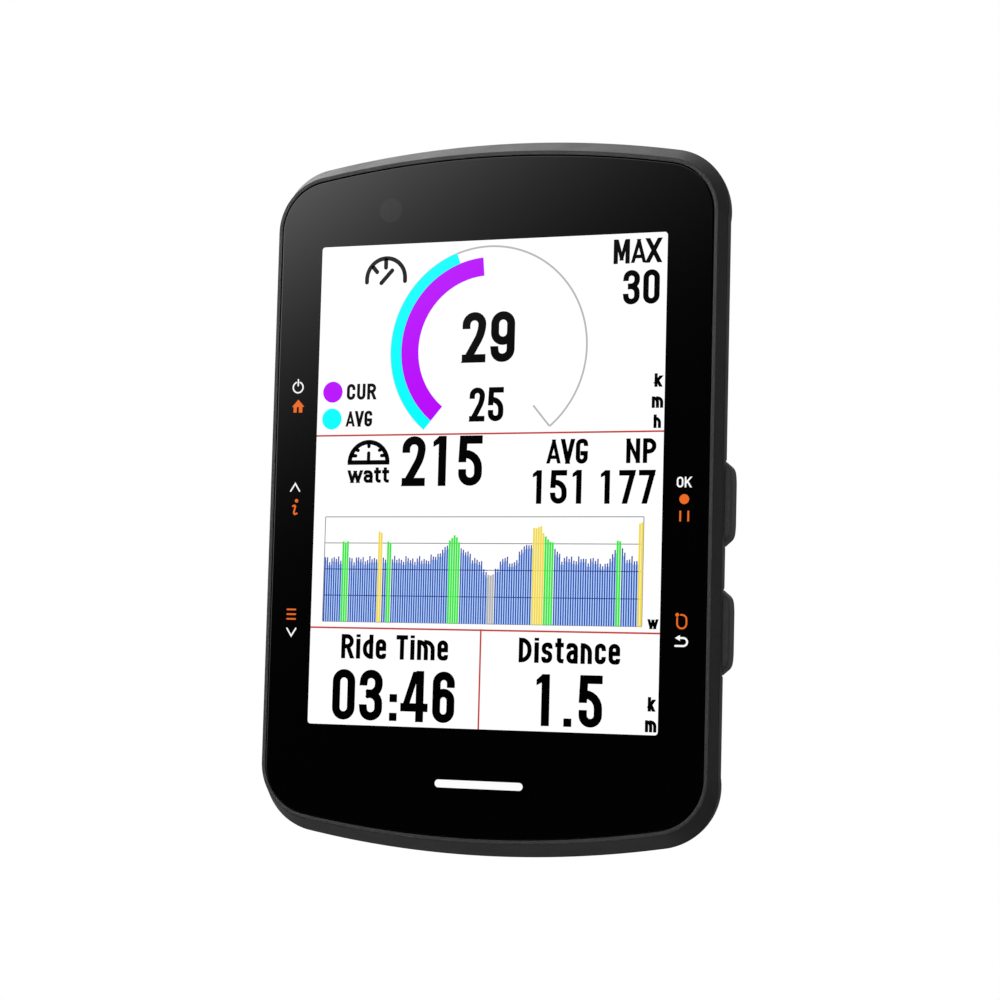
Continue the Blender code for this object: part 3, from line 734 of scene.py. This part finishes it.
def button_caps():
    """Five rubber caps: a flange inside the wall, then a face with sloped ends."""
    for name, side in KEYS.items():
        cap = extent(f"{name}_button")
        _, depth, z = centre_of(cap)
        across = (cap.back - cap.front) / 2 - FLANGE_ACROSS
        along = (cap.top - cap.bottom) / 2 - FLANGE_ALONG
        face = max(abs(cap.left), abs(cap.right))
        corners = [
            ((face - PLUNGER_TIP, PLUNGER_HALF, PLUNGER_HALF, 0.88), 0.0),
            ((face - FLANGE_BACK, PLUNGER_HALF, PLUNGER_HALF, 0.88), 0.0),
            ((face - FLANGE_BACK, across + FLANGE_ACROSS, along + FLANGE_ALONG, 0.8), 0.0),
            ((face - FLANGE_FRONT, across + FLANGE_ACROSS, along + FLANGE_ALONG, 0.8), 0.0),
            ((face - FLANGE_FRONT, across, along, 1.0), 0.0),
            ((face - SLOPE_FOOT, across, along, 1.0), 0.12),
            ((face - 0.22, across - 0.35, along - 1.05, 0.9), 0.5),
            ((face - 0.06, across - 0.7, along - 2.3, 0.7), 0.5),
            ((face, across - 1.0, along - 3.4, 0.55), 0.0),
        ]
        rings = []
        for x, half_depth, half_length, corner in eased(corners, steps=5):
            outline = rounded(depth, z, half_depth, half_length, min(corner, half_depth - 0.01))
            rings.append([at(side * x, a, b) for a, b in outline])
        piece = body(f"{name}_cap", rings)
        place_piece(soften(piece, 60.0), RUBBER, f"{name}_key", "rubber", f"{name}_button")


def port_flap():
    """Rubber flap flush with the bottom edge, with its plug."""
    piece = body("port_flap_cap", [cover_ring(inset, depth) for inset, depth in cover_outside()])
    seat = -48.85
    combine(piece, [block("keep", (FLAP.left, FLAP.right), (FLAP.front, FLAP.back), (BELOW_PART, seat))],
            "INTERSECT")
    socket_depth = 7.85
    combine(piece, [prism("plug", rounded(0, socket_depth, 4.2, 0.95, 0.8), (seat - 0.25, FLAP.top), "z")],
            "UNION")
    place_piece(soften(piece), RUBBER, "port_flap", "rubber", "port_cover")


def socket_tongue():
    """The charging socket's tongue with its row of gold contacts, seen when the flap is open."""
    socket = extent("usb_connector")
    depth = centre_of(socket)[1]
    tongue = prism("socket_tongue", rounded(0, depth, 3.3, 0.35, 0.15), (-46.4, socket.top - 1.4), "z")
    place_piece(soften(tongue), CAD_FINISHES["chip"], "housing", "chip")
    shape = bmesh.new()
    for number in range(-3, 4):
        for face in (-1, 1):
            middle = at(0.75 * number, depth + face * 0.36, -44.9)
            size = (0.4 * MM, 0.04 * MM, 2.4 * MM, 1.0)
            place = Matrix.Translation(middle) @ Matrix.Diagonal(size)
            bmesh.ops.create_cube(shape, size=1.0, matrix=place)
    contacts = new_object("socket_contacts", shape)
    place_piece(contacts, CAD_FINISHES["brass"], "housing", "brass")


# ---------------------------------------------------------------- glass and flat printing

# Glyphs of a condensed typeface: width for a height of 1, then strokes in a unit cell. Points are x,z;
# "~" rounds a corner, a stroke ending in "z" is closed, one starting with "-" is thinner, and one starting
# with "#" is a filled shape.
GLYPHS = {
    " ": (0.20, ""),
    ".": (0.17, "#0,0 1,0 1,.16 0,.16"),
    ":": (0.17, "#0,0 1,0 1,.16 0,.16|#0,.37 1,.37 1,.53 0,.53"),
    "0": (0.48, "0,0~ 1,0~ 1,1~ 0,1~ z"),
    "1": (0.48, ".52,0 .52,1|#.12,.78 .36,.84 .5,1 .38,1 .12,.89"),
    "2": (0.48, "0,.8 0,1~ 1,1~ 1,.62~ .12,0|.0,0 1,0"),
    "3": (0.48, "0,.82 0,1~ 1,1~ 1,.53~ .42,.53|.42,.53 1,.53~ 1,0~ 0,0~ 0,.18"),
    "4": (0.60, ".78,0 .78,1|-.54,1 .04,.24|0,.24 1,.24"),
    "5": (0.48, "1,1 .05,1 0,.56|.1,.66 1,.66~ 1,0~ 0,0~ 0,.2"),
    "6": (0.48, "1,.82 1,1~ 0,1~ 0,.3|0,0~ 1,0~ 1,.6~ 0,.6~ z"),
    "7": (0.46, "0,1 1,1|1,1 .35,0"),
    "9": (0.48, "0,.18 0,0~ 1,0~ 1,.7|0,.4~ 1,.4~ 1,1~ 0,1~ z"),
    "A": (0.58, "-0,0 .5,1|-.5,1 1,0|-.2,.22 .8,.22"),
    "C": (0.48, "1,.76 1,1~ 0,1~ 0,0~ 1,0~ 1,.24"),
    "D": (0.48, "0,0 0,1 1,1~ 1,0~ z"),
    "G": (0.48, "1,.86 1,1~ 0,1~ 0,0~ 1,0~ 1,.40 .6,.40"),
    "K": (0.50, "0,0 0,1|1,1 .1,.42|.38,.58 1,0"),
    "M": (0.62, "0,0 0,1|1,0 1,1|-.12,1 .5,.14|-.88,1 .5,.14"),
    "N": (0.50, "0,0 0,1|-0,1 1,0|1,0 1,1"),
    "O": (0.50, "0,0~ 1,0~ 1,1~ 0,1~ z"),
    "P": (0.48, "0,0 0,1|0,1 1,1~ 1,.46~ 0,.46"),
    "R": (0.50, "0,0 0,1|0,1 1,1~ 1,.5~ 0,.5|.55,.5 1,0"),
    "T": (0.46, "0,1 1,1|.5,0 .5,1"),
    "U": (0.48, "0,1 0,0~ 1,0~ 1,1"),
    "V": (0.54, "0,1 .5,0|.5,0 1,1"),
    "X": (0.56, "0,0 1,1|0,1 1,0"),
    "a": (0.42, "0,.70 0,.78~ 1,.78~ 1,0|1,.44 0,.44~ 0,0~ 1,0~"),
    "c": (0.40, "1,.64 1,.78~ 0,.78~ 0,0~ 1,0~ 1,.14"),
    "d": (0.42, "1,0 1,1|1,.78 0,.78~ 0,0~ 1,0"),
    "e": (0.42, "0,.41 1,.41|1,.41 1,.78~ 0,.78~ 0,0~ 1,0~ 1,.06"),
    "h": (0.42, "0,0 0,1|0,.78 1,.78~ 1,0"),
    "i": (0.17, "#0,0 1,0 1,.82 0,.82|#0,.88 1,.88 1,1 0,1"),
    "k": (0.46, "0,0 0,1|1,.78 .1,.34|.36,.46 1,0"),
    "m": (0.70, "0,0 0,.78|0,.78 .5,.78~ .5,0|.5,.78 1,.78~ 1,0"),
    "n": (0.42, "0,0 0,.78|0,.78 1,.78~ 1,0"),
    "s": (0.40, "1,.70 1,.78~ 0,.78~ 0,.41~ 1,.39~ 1,0~ 0,0~ 0,.08"),
    "t": (0.32, ".4,1 .4,0~ 1,0|0,.78 1,.78"),
    "w": (0.68, "0,.78 .25,0|.25,0 .5,.74|.5,.74 .75,0|.75,0 1,.78"),
}
GLYPH_GAP = 0.10
CLOSE_GAP = 0.05
SLANTED = "AVX"
SLANT_CLOSER = 0.05
THIN_SHARE = 0.80
MITRE_LIMIT = 0.35
LEVEL_SLOPE = 0.5


def letter_gap(first, second, gap):
    """Space between two letters, closer where their sides slant away from each other."""
    return gap - SLANT_CLOSER * sum(letter in SLANTED for letter in (first, second))


def read_stroke(text, place):
    """Corners of one stroke as (point, is it rounded); place turns unit coordinates into a point."""
    corners = []
    for word in text.split():
        if word == "z":
            continue
        x, z = word.rstrip("~").split(",")
        corners.append((place(float(x), float(z)), word.endswith("~")))
    return corners


def rounded_path(corners, closed, steps=6):
    """The path through the corners, with the marked ones rounded as far as their neighbours allow."""
    roundness = 0.55
    path = []
    count = len(corners)
    for i, (here, soft) in enumerate(corners):
        if not soft:
            path.append(here)
            continue
        before, before_soft = corners[i - 1]
        after, after_soft = corners[(i + 1) % count]
        room = min((before - here).length * (0.5 if before_soft else 1.0),
                   (after - here).length * (0.5 if after_soft else 1.0))
        start = here + (before - here).normalized() * room
        finish = here + (after - here).normalized() * room
        handles = (start.lerp(here, roundness), finish.lerp(here, roundness))
        for step in range(steps + 1):
            t = step / steps
            path.append((1 - t) ** 3 * start + 3 * t * (1 - t) ** 2 * handles[0]
                        + 3 * t ** 2 * (1 - t) * handles[1] + t ** 3 * finish)
    distinct = [point for i, point in enumerate(path) if i == 0 or (point - path[i - 1]).length > 1e-4]
    if closed and (distinct[0] - distinct[-1]).length < 1e-4:
        distinct.pop()
    return distinct


def level_cut(place, outward, along, half):
    """The end of a stroke: cut level where it runs steeply, square where it runs flat."""
    if abs(outward.y) > LEVEL_SLOPE:
        tip = place + outward * (half / abs(outward.y))
        across = Vector((-math.copysign(half / abs(along.y), along.y), 0.0))
    else:
        tip = place + outward * half
        across = Vector((-along.y, along.x)) * half
    return tip + across, tip - across


def line_stations(path, half, closed, ends):
    """Left and right edge points along a path, with the ends butt, round, or level."""
    count = len(path)
    stations = []
    for i, place in enumerate(path):
        runs = []
        if closed or i > 0:
            runs.append((place - path[i - 1]).normalized())
        if closed or i + 1 < count:
            runs.append((path[(i + 1) % count] - place).normalized())
        along = (runs[0] + runs[-1]).normalized()
        across = Vector((-along.y, along.x)) * (half / max(along.dot(runs[0]), MITRE_LIMIT))
        stations.append((place + across, place - across))
    if closed or ends == "butt":
        return stations
    first = (path[1] - path[0]).normalized()
    last = (path[-1] - path[-2]).normalized()
    if ends == "level":
        stations[0] = level_cut(path[0], -first, first, half)
        stations[-1] = level_cut(path[-1], last, last, half)
        return stations
    for turn in (20, 40, 60, 80):
        a = math.radians(turn)
        start = path[0] - first * (half * math.sin(a))
        finish = path[-1] + last * (half * math.sin(a))
        start_across = Vector((-first.y, first.x)) * (half * math.cos(a))
        last_across = Vector((-last.y, last.x)) * (half * math.cos(a))
        stations.insert(0, (start + start_across, start - start_across))
        stations.append((finish + last_across, finish - last_across))
    return stations


class Print:
    """Flat shapes in one colour on the front of the glass, each a thin closed body."""

    def __init__(self, layer):
        self.shape = bmesh.new()
        self.back = -layer * LAYER_STEP - LAYER_GAP
        self.front = self.back - LAYER_FILM

    def corner(self, place, depth):
        """A corner of a shape, from display coordinates."""
        return self.shape.verts.new(at(place[0], depth, place[1] + DISPLAY_Z))

    def plate(self, outline):
        """A filled shape."""
        front = [self.corner(place, self.front) for place in outline]
        back = [self.corner(place, self.back) for place in outline]
        cover_loops(self.shape, [front, back])

    def line(self, path, width, closed=False, ends="butt", limits=None):
        """A line of one width; limits are the lowest and highest z it may reach."""
        path = [Vector(place) for place in path]
        rails = []
        for left, right in line_stations(path, width / 2, closed, ends):
            if limits:
                left.y = min(max(left.y, limits[0]), limits[1])
                right.y = min(max(right.y, limits[0]), limits[1])
            rails.append([self.corner(left, self.front), self.corner(right, self.front),
                          self.corner(right, self.back), self.corner(left, self.back)])
        cover_loops(self.shape, rails, closed)

    def arc(self, x, z, radius, start, finish, width, ends="butt"):
        """Part of a ring, from one angle to another in degrees."""
        steps = max(int(abs(finish - start) / 1.5), 6)
        self.line(arc_points(x, z, radius, start, finish, steps), width, ends=ends)

    def words(self, text, x_span, z_span, weight, gap=GLYPH_GAP):
        """Text stretched to fill a space; weight is the stroke's width as a share of the height."""
        height = z_span[1] - z_span[0]
        gaps = [letter_gap(first, second, gap) for first, second in zip(text, text[1:])] + [0.0]
        natural = sum(GLYPHS[letter][0] for letter in text) + sum(gaps)
        scale = (x_span[1] - x_span[0]) / natural
        half = weight * height / 2
        left = x_span[0]
        for letter, space in zip(text, gaps):
            width, strokes = GLYPHS[letter]
            cell = width * scale
            self.glyph(strokes, left, z_span, cell, half)
            left += cell + space * scale

    def glyph(self, strokes, left, z_span, cell, half):
        """One letter in its cell."""
        bottom, height = z_span[0], z_span[1] - z_span[0]

        def on_line(x, z):
            return Vector((left + half + x * (cell - 2 * half), bottom + half + z * (height - 2 * half)))

        def on_edge(x, z):
            return Vector((left + x * cell, bottom + z * height))

        top = self.front
        for number, stroke in enumerate(filter(None, strokes.split("|"))):
            self.front = top - number * STROKE_STEP
            if stroke.startswith("#"):
                self.plate([place for place, _ in read_stroke(stroke[1:], on_edge)])
            else:
                closed = stroke.endswith("z")
                width = 2 * half * (THIN_SHARE if stroke.startswith("-") else 1.0)
                path = rounded_path(read_stroke(stroke.lstrip("-"), on_line), closed)
                self.line(path, width, closed, "level", z_span)
        self.front = top

    def done(self, name, finish, slot="display"):
        """Make the object and fix it to the housing."""
        bmesh.ops.recalc_face_normals(self.shape, faces=self.shape.faces)
        place_piece(new_object(name, self.shape), finish, "housing", slot)


def cover_glass():
    """Flat cover glass with a finely ground edge, and the light sensor's window behind it."""
    rings = [even_ring(-0.12, 0.0), even_ring(-0.03, 0.03), even_ring(0.0, 0.12)]
    rings += [even_ring(0.0, GLASS.back - 0.1), even_ring(-0.1, GLASS.back)]
    place_piece(soften(body("glass_panel", rings)), GLASS_BLACK, "housing", "cover_glass", "cover_glass")
    window = new_material("sensor_window", (0.014, 0.014, 0.014), 0.03).owner
    sensor = extent("light_sensor")
    spot = Print(0)
    spot.plate(circle(centre_of(sensor)[0], centre_of(sensor)[2] - DISPLAY_Z, 1.75, 48))
    spot.done("sensor_spot", window, "cover_glass")


# ---------------------------------------------------------------- what the display shows

INK = glowing("display_black", (0.0, 0.0, 0.0), 0.0)
LINE_GREY = glowing("display_grey", (0.48, 0.48, 0.48))
GRID_GREY = glowing("display_grid_grey", (0.24, 0.25, 0.28))
RED = glowing("display_red", (0.56, 0.045, 0.040))
CYAN = glowing("display_cyan", (0.0, 0.98, 0.99))
PURPLE = glowing("display_purple", (0.485, 0.001, 0.96))
BLUE = glowing("display_blue", (0.009, 0.050, 0.41))
NAVY = glowing("display_navy", (0.025, 0.05, 0.28))
PALE_BLUE = glowing("display_pale_blue", (0.47, 0.68, 1.0))
GREEN = glowing("display_green", (0.04, 0.80, 0.06))
YELLOW = glowing("display_yellow", (0.90, 0.71, 0.07))
BAR_GREY = glowing("display_bar_grey", (0.46, 0.46, 0.46))
WHITE_LEGEND = glowing("legend_white", (0.98, 0.98, 0.98))
ORANGE_LEGEND = glowing("legend_orange", (0.83, 0.15, 0.02))


def lit_page():
    """The white page that fills the lit area, with its dividing lines."""
    page = Print(0)
    page.plate(rounded(0, 0, LIT_WIDTH / 2, LIT_HEIGHT / 2, LIT_CORNER))
    page.done("lit_page", BACKLIGHT)
    lines = Print(1)
    half = LIT_WIDTH / 2
    for z in (6.93, -20.75):
        lines.line([(-half, z), (half, z)], 0.24)
    lines.line([(0.11, -20.6), (0.11, -LIT_HEIGHT / 2)], 0.24)
    lines.done("divider_lines", RED)


def gauge():
    """Two part rings for current and average speed round a thin grey dial, with its key."""
    x, z, start, finish = 0.0, 19.0, 230.8, -49.7
    dial = Print(1)
    dial.arc(x, z, 14.63, start, finish, 0.27)
    dial.line([arc_points(x, z, 14.6, start, finish, 1)[-1], (7.0, 10.8)], 0.27)
    dial.done("gauge_dial", LINE_GREY)
    average = Print(2)
    average.arc(x, z, 13.9, start, 109.7, 1.62)
    average.plate(circle(-23.58, 9.36, 1.53, 40))
    average.done("average_ring", CYAN)
    current = Print(2)
    current.arc(x, z, 11.78, start, 94.2, 2.64)
    current.plate(circle(-23.56, 13.27, 1.53, 40))
    current.done("current_ring", PURPLE)


def dial_icon(ink):
    """A small dial: a half ring, two ticks and a needle."""
    x, z, radius, width = -15.8, 29.6, 2.95, 0.62
    arch = arc_points(x, z, radius, 0, 180, 24)
    ink.line([(x + radius, z - 0.45)] + arch + [(x - radius, z - 0.45)], width, ends="round")
    ink.line([(-15.85, 32.3), (-15.85, 31.2)], width, ends="round")
    ink.line([(-17.8, 31.3), (-17.2, 30.6)], width, ends="round")
    ink.line([(-16.5, 28.97), (-14.87, 30.74)], width, ends="round")


def meter_icon(ink):
    """A half-round meter: a closed outline, a needle and five ticks."""
    x, base, radius = -17.67, 3.0, 2.92
    outline, mark = 0.66, 0.52
    ink.arc(x, base, radius, 0, 180, outline)
    ink.line([(x - radius - outline / 2, base), (x + radius + outline / 2, base)], outline)
    ink.line([(x, base), (x, base + 1.35)], mark, ends="round")
    ink.line([(x, base + radius), (x, base + 2.3)], mark, ends="round")
    for side in (-1, 1):
        ink.line([(x + side * 2.7, base + 1.02), (x + side * 2.0, base + 0.97)], mark, ends="round")
        ink.line([(x + side * 2.2, base + 2.0), (x + side * 1.65, base + 1.75)], mark, ends="round")


# Everything written on the display, by stroke weight: text, left, right, bottom, top
READINGS = {
    0.165: (
        ("29", -3.85, 4.03, 17.05, 24.27), ("25", -2.5, 2.6, 8.65, 13.5), ("30", 19.7, 24.9, 24.6, 29.4),
        ("215", -12.47, -0.36, -0.45, 6.69), ("151", 6.9, 15.1, -3.02, 1.69),
        ("177", 16.78, 24.81, -3.04, 1.62), ("03", -22.16, -14.45, -33.85, -26.65),
        (":", -13.35, -12.2, -33.8, -26.65), ("46", -11.67, -3.54, -33.85, -26.65),
        ("1", 8.07, 11.5, -33.8, -26.65), (".", 12.5, 13.65, -33.8, -26.65),
        ("5", 14.66, 18.0, -33.8, -26.65),
    ),
    0.182: (
        ("MAX", 18.2, 25.0, 30.33, 33.78), ("AVG", 9.11, 15.13, 2.54, 6.03), ("NP", 20.63, 24.9, 2.56, 5.98),
        ("Ride Time", -21.0, -4.7, -25.12, -21.65), ("Distance", 5.78, 20.39, -25.12, -21.65),
    ),
    0.195: (("CUR", -21.36, -16.82, 12.09, 14.41), ("AVG", -21.42, -17.3, 8.18, 10.47)),
    0.22: (("watt", -20.83, -14.42, 0.05, 2.27),),
    0.235: (
        ("k", 24.43, 25.46, 13.05, 14.93), ("m", 24.10, 25.73, 10.14, 12.05),
        ("h", 24.41, 25.48, 7.36, 9.24), ("w", 24.18, 25.65, -20.17, -18.55),
        ("k", 24.43, 25.41, -31.35, -29.39), ("m", 24.10, 25.71, -34.16, -32.22),
    ),
}


def readings():
    """The black figures, labels and icons."""
    ink = Print(1)
    dial_icon(ink)
    meter_icon(ink)
    for weight, texts in READINGS.items():
        for text, left, right, bottom, top in texts:
            gap = CLOSE_GAP if text == "watt" else GLYPH_GAP
            ink.words(text, (left, right), (bottom, top), weight, gap)
    ink.done("readings", INK)


def bar_height(share, number):
    """Height of one bar of the power trace, as a share of the chart."""
    for where, count, height in EFFORTS:
        if abs(share - where) * BAR_COUNT < count / 2:
            return height - 0.012 * (number % 2)
    for (before, low), (after, high) in zip(TRACE, TRACE[1:]):
        if share <= after:
            height = low + (high - low) * (share - before) / (after - before)
            break
    lowest, highest = RIPPLED_HEIGHTS
    strength = 1.0 if lowest < height < highest else CALM_SHARE
    return height + strength * sum(size * math.sin(pace * number + start) for size, pace, start in RIPPLES)


def chart():
    """Bar chart of power over time, coloured by effort, over quarter grid lines."""
    tall = CHART_TOP - CHART_BOTTOM
    quarters = [CHART_BOTTOM + tall * quarter / 4 for quarter in range(5)]
    grid = Print(1)
    for z in quarters:
        grid.line([(CHART_LEFT, z), (CHART_RIGHT, z)], GRID_LINE)
    for x in (CHART_LEFT, CHART_RIGHT):
        grid.line([(x, CHART_BOTTOM), (x, CHART_TOP)], GRID_LINE)
    grid.done("chart_grid", GRID_GREY)
    finishes = {"blue": BLUE, "green": GREEN, "yellow": YELLOW, "grey": BAR_GREY}
    inks = {colour: Print(3) for colour in finishes}
    pale, crossing = Print(2), Print(4)
    pitch = (CHART_RIGHT - CHART_LEFT) / BAR_COUNT
    heights = [bar_height((number + 0.5) / BAR_COUNT, number) for number in range(BAR_COUNT)]
    for number, height in enumerate(heights):
        colour = "grey" if height < GREY_BELOW else "blue"
        if height > GREEN_FROM:
            colour = "yellow" if height > YELLOW_FROM else "green"
        share = BLUE_BAR_SHARE if colour == "blue" else BAR_SHARE
        left = CHART_LEFT + pitch * (number + 0.5 - share / 2)
        right = left + pitch * share
        top = CHART_BOTTOM + tall * height
        inks[colour].plate([(left, CHART_BOTTOM), (right, CHART_BOTTOM), (right, top), (left, top)])
        if colour == "blue":
            edge = left + pitch
            low = CHART_BOTTOM + tall * (min(height, *heights[number:number + 2]) - 0.03)
            pale.plate([(right, CHART_BOTTOM), (edge, CHART_BOTTOM), (edge, low), (right, low)])
            for z in quarters[1:3]:
                crossing.line([(left, z), (edge, z)], GRID_LINE)
    for colour, finish in finishes.items():
        inks[colour].done(f"chart_{colour}", finish)
    pale.done("chart_pale_blue", PALE_BLUE)
    crossing.done("chart_grid_on_bars", NAVY)


# ---------------------------------------------------------------- legends beside the display

def white_legends():
    """Power, up, down, confirm and back signs, and a plain bar in the maker's place."""
    sign = Print(0)
    x, z = -29.1, 14.08
    sign.arc(x, z, 0.78, 112, 428, 0.21, ends="round")
    sign.line([(x, z + 0.25), (x, z + 1.13)], 0.21, ends="round")
    x, z = -29.05, -0.5
    sign.line([(x - 0.7, z - 0.58), (x, z + 0.52), (x + 0.7, z - 0.58)], 0.21, ends="round")
    x, z = -28.94, -21.53
    sign.line([(x - 0.7, z + 0.56), (x, z - 0.54), (x + 0.7, z + 0.56)], 0.21, ends="round")
    sign.words("OK", (27.86, 29.9), (-0.82, 0.64), 0.155)
    x, z = 28.92, -21.72
    sign.plate([(x - 0.9, z + 0.42), (x - 0.18, z + 0.02), (x - 0.18, z + 0.82)])
    hook = arc_points(x + 0.28, z - 0.12, 0.54, 90, -90, 12)
    sign.line([(x - 0.3, z + 0.42)] + hook + [(x - 0.82, z - 0.66)], 0.27, ends="round")
    sign.plate(rounded(0.33, -42.29, 6.5, 0.55, 0.54))
    sign.done("white_legends", WHITE_LEGEND, "cover_glass")


def orange_legends():
    """Home, information, menu, record, pause and lap signs."""
    sign = Print(0)
    x, z = -29.0, 11.34
    sign.plate([(x - 0.22, z - 0.95), (x - 0.22, z - 0.15), (x + 0.12, z - 0.15), (x + 0.12, z - 0.95),
                (x + 0.68, z - 0.95), (x + 0.68, z - 0.12), (x + 0.98, z - 0.12), (x, z + 0.95),
                (x - 0.98, z - 0.12), (x - 0.72, z - 0.12), (x - 0.72, z - 0.95)])
    x, z = -28.95, -3.41
    sign.plate(circle(x + 0.18, z + 0.92, 0.27, 24))
    sign.line([(x - 0.38, z + 0.14), (x - 0.14, z + 0.25), (x + 0.02, z + 0.12), (x - 0.21, z - 0.82),
               (x - 0.06, z - 1.03), (x + 0.28, z - 0.92)], 0.26, ends="round")
    x, z = -29.03, -18.93
    for row in (-1, 0, 1):
        sign.line([(x - 0.64, z + 0.68 * row), (x + 0.64, z + 0.68 * row)], 0.24, ends="round")
    sign.plate(circle(28.95, -2.42, 0.68, 40))
    for side in (-1, 1):
        x = 28.99 + side * 0.56
        sign.line([(x, -5.47), (x, -4.01)], 0.25)
    x, z = 28.87, -19.01
    sign.plate(circle(x - 0.58, z + 0.84, 0.26, 24))
    bend = arc_points(x + 0.1, z + 0.22, 0.62, 90, 0, 5) + arc_points(x + 0.07, z - 0.35, 0.65, 0, -180, 12)
    sign.line([(x - 0.1, z + 0.84)] + bend + [(x - 0.58, z + 0.42)], 0.23, ends="round")
    sign.done("orange_legends", ORANGE_LEGEND, "cover_glass")


# ---------------------------------------------------------------- CAD pieces that stay

def dress_cad_nodes():
    """Give every CAD node that stays in view a procedural finish in its own slot."""
    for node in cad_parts.values():
        for held in node.material_slots:
            finish = CAD_FINISHES.get(held.material.name.split(".")[0]) if held.material else None
            if finish:
                held.material = finish


# ---------------------------------------------------------------- studio

def direction(azimuth, elevation):
    """Unit vector towards a lamp; azimuth 0 is in front of the display, positive to the right."""
    a, e = math.radians(azimuth), math.radians(elevation)
    return Vector((math.sin(a) * math.cos(e), -math.cos(a) * math.cos(e), math.sin(e)))


def soft_box(nodes, ray, azimuth, elevation, roll, across, up, strength):
    """The light of one soft box along a ray, fading smoothly from its middle."""
    middle = direction(azimuth, elevation)
    level = Vector((0.0, 0.0, 1.0)).cross(middle).normalized()
    sideways = Matrix.Rotation(math.radians(roll), 3, middle) @ level
    squares = []
    for axis, reach in ((sideways, across), (middle.cross(sideways), up)):
        offset = nodes.dot(ray, axis / math.sin(math.radians(reach)))
        squares.append(nodes.calculate("MULTIPLY", offset, offset))
    fade = nodes.calculate("POWER", math.exp(-0.5), nodes.calculate("ADD", *squares))
    ahead = nodes.calculate("MAXIMUM", nodes.dot(ray, middle), 0.0)
    return nodes.calculate("MULTIPLY", nodes.calculate("MULTIPLY", fade, ahead), strength)


def studio_light():
    """White paper all round for the camera, and soft boxes in a dark studio for everything else."""
    world = bpy.data.worlds.new("studio")
    bpy.context.scene.world = world
    nodes = Nodes(world)
    nodes.tree.nodes.clear()
    ray = nodes.coordinates("Generated")
    total = AMBIENT
    for settings in SOFT_BOXES:
        total = nodes.calculate("ADD", soft_box(nodes, ray, *settings), total)
    boxes = nodes.add("Background", {"Strength": total}).outputs[0]
    paper = nodes.add("Background", {"Color": (1.0, 1.0, 1.0, 1.0)}).outputs[0]
    seen = nodes.add("LightPath", {}).outputs["Is Camera Ray"]
    mix = nodes.add("MixShader", {"Fac": seen, 1: boxes, 2: paper}).outputs[0]
    nodes.add("OutputWorld", {"Surface": mix})
    bpy.context.scene.view_settings.view_transform = "Standard"


def front_fill():
    """A weak broad light from the front that matt surfaces catch and polished ones do not mirror."""
    lamp = bpy.data.lights.new("front_fill", "SUN")
    lamp.energy = FILL_STRENGTH
    lamp.angle = FILL_SPREAD
    fill = bpy.data.objects.new("front_fill", lamp)
    fill.rotation_euler = direction(*FILL_FROM).to_track_quat("Z", "Y").to_euler()
    fill.visible_glossy = False
    bpy.context.collection.objects.link(fill)


def floor():
    """A wide pale floor below the open flap, lit evenly so that it meets the backdrop without an edge."""
    low = cad_box[0][2] / MM - FLOOR_GAP
    shape = bmesh.new()
    shape.faces.new([shape.verts.new(at(side * FLOOR_HALF, end * FLOOR_HALF, low))
                     for side, end in ((-1, -1), (1, -1), (1, 1), (-1, 1))])
    ground = new_object("floor", shape)
    paper = new_material("white_paper", (0.0, 0.0, 0.0), 1.0)
    paper.surface("Specular IOR Level", 0.0)
    paper.surface("Emission Color", (1.0, 1.0, 1.0, 1.0))
    paper.surface("Emission Strength", 1.0)
    ground.data.materials.append(paper.owner)
    ground.visible_diffuse = False
    ground.visible_glossy = False


def camera():
    """Camera to the right of the part and a little below its middle, turned towards it."""
    roll = math.radians(CAMERA_ROLL)
    ahead = -direction(CAMERA_HEADING, -CAMERA_TILT)
    level = ahead.cross(Vector((0.0, 0.0, 1.0))).normalized()
    upright = level.cross(ahead)
    right = level * math.cos(roll) + upright * math.sin(roll)
    up = right.cross(ahead)
    lens = bpy.data.cameras.new("camera")
    lens.lens = CAMERA_LENS
    lens.sensor_width = 36.0
    lens.shift_x, lens.shift_y = CAMERA_SHIFT
    lens.clip_start = 0.01
    lens.clip_end = 20.0
    viewer = bpy.data.objects.new("camera", lens)
    turn = Matrix((right, up, -ahead)).transposed().to_4x4()
    viewer.matrix_world = Matrix.Translation(at(*CAMERA_PLACE)) @ turn
    bpy.context.collection.objects.link(viewer)
    bpy.context.scene.camera = viewer


camera()
studio_light()
front_fill()
floor()
dress_cad_nodes()
front_frame()
rear_cover()
fasteners()
mount_plate()
button_caps()
port_flap()
socket_tongue()
cover_glass()
lit_page()
gauge()
readings()
chart()
white_legends()
orange_legends()
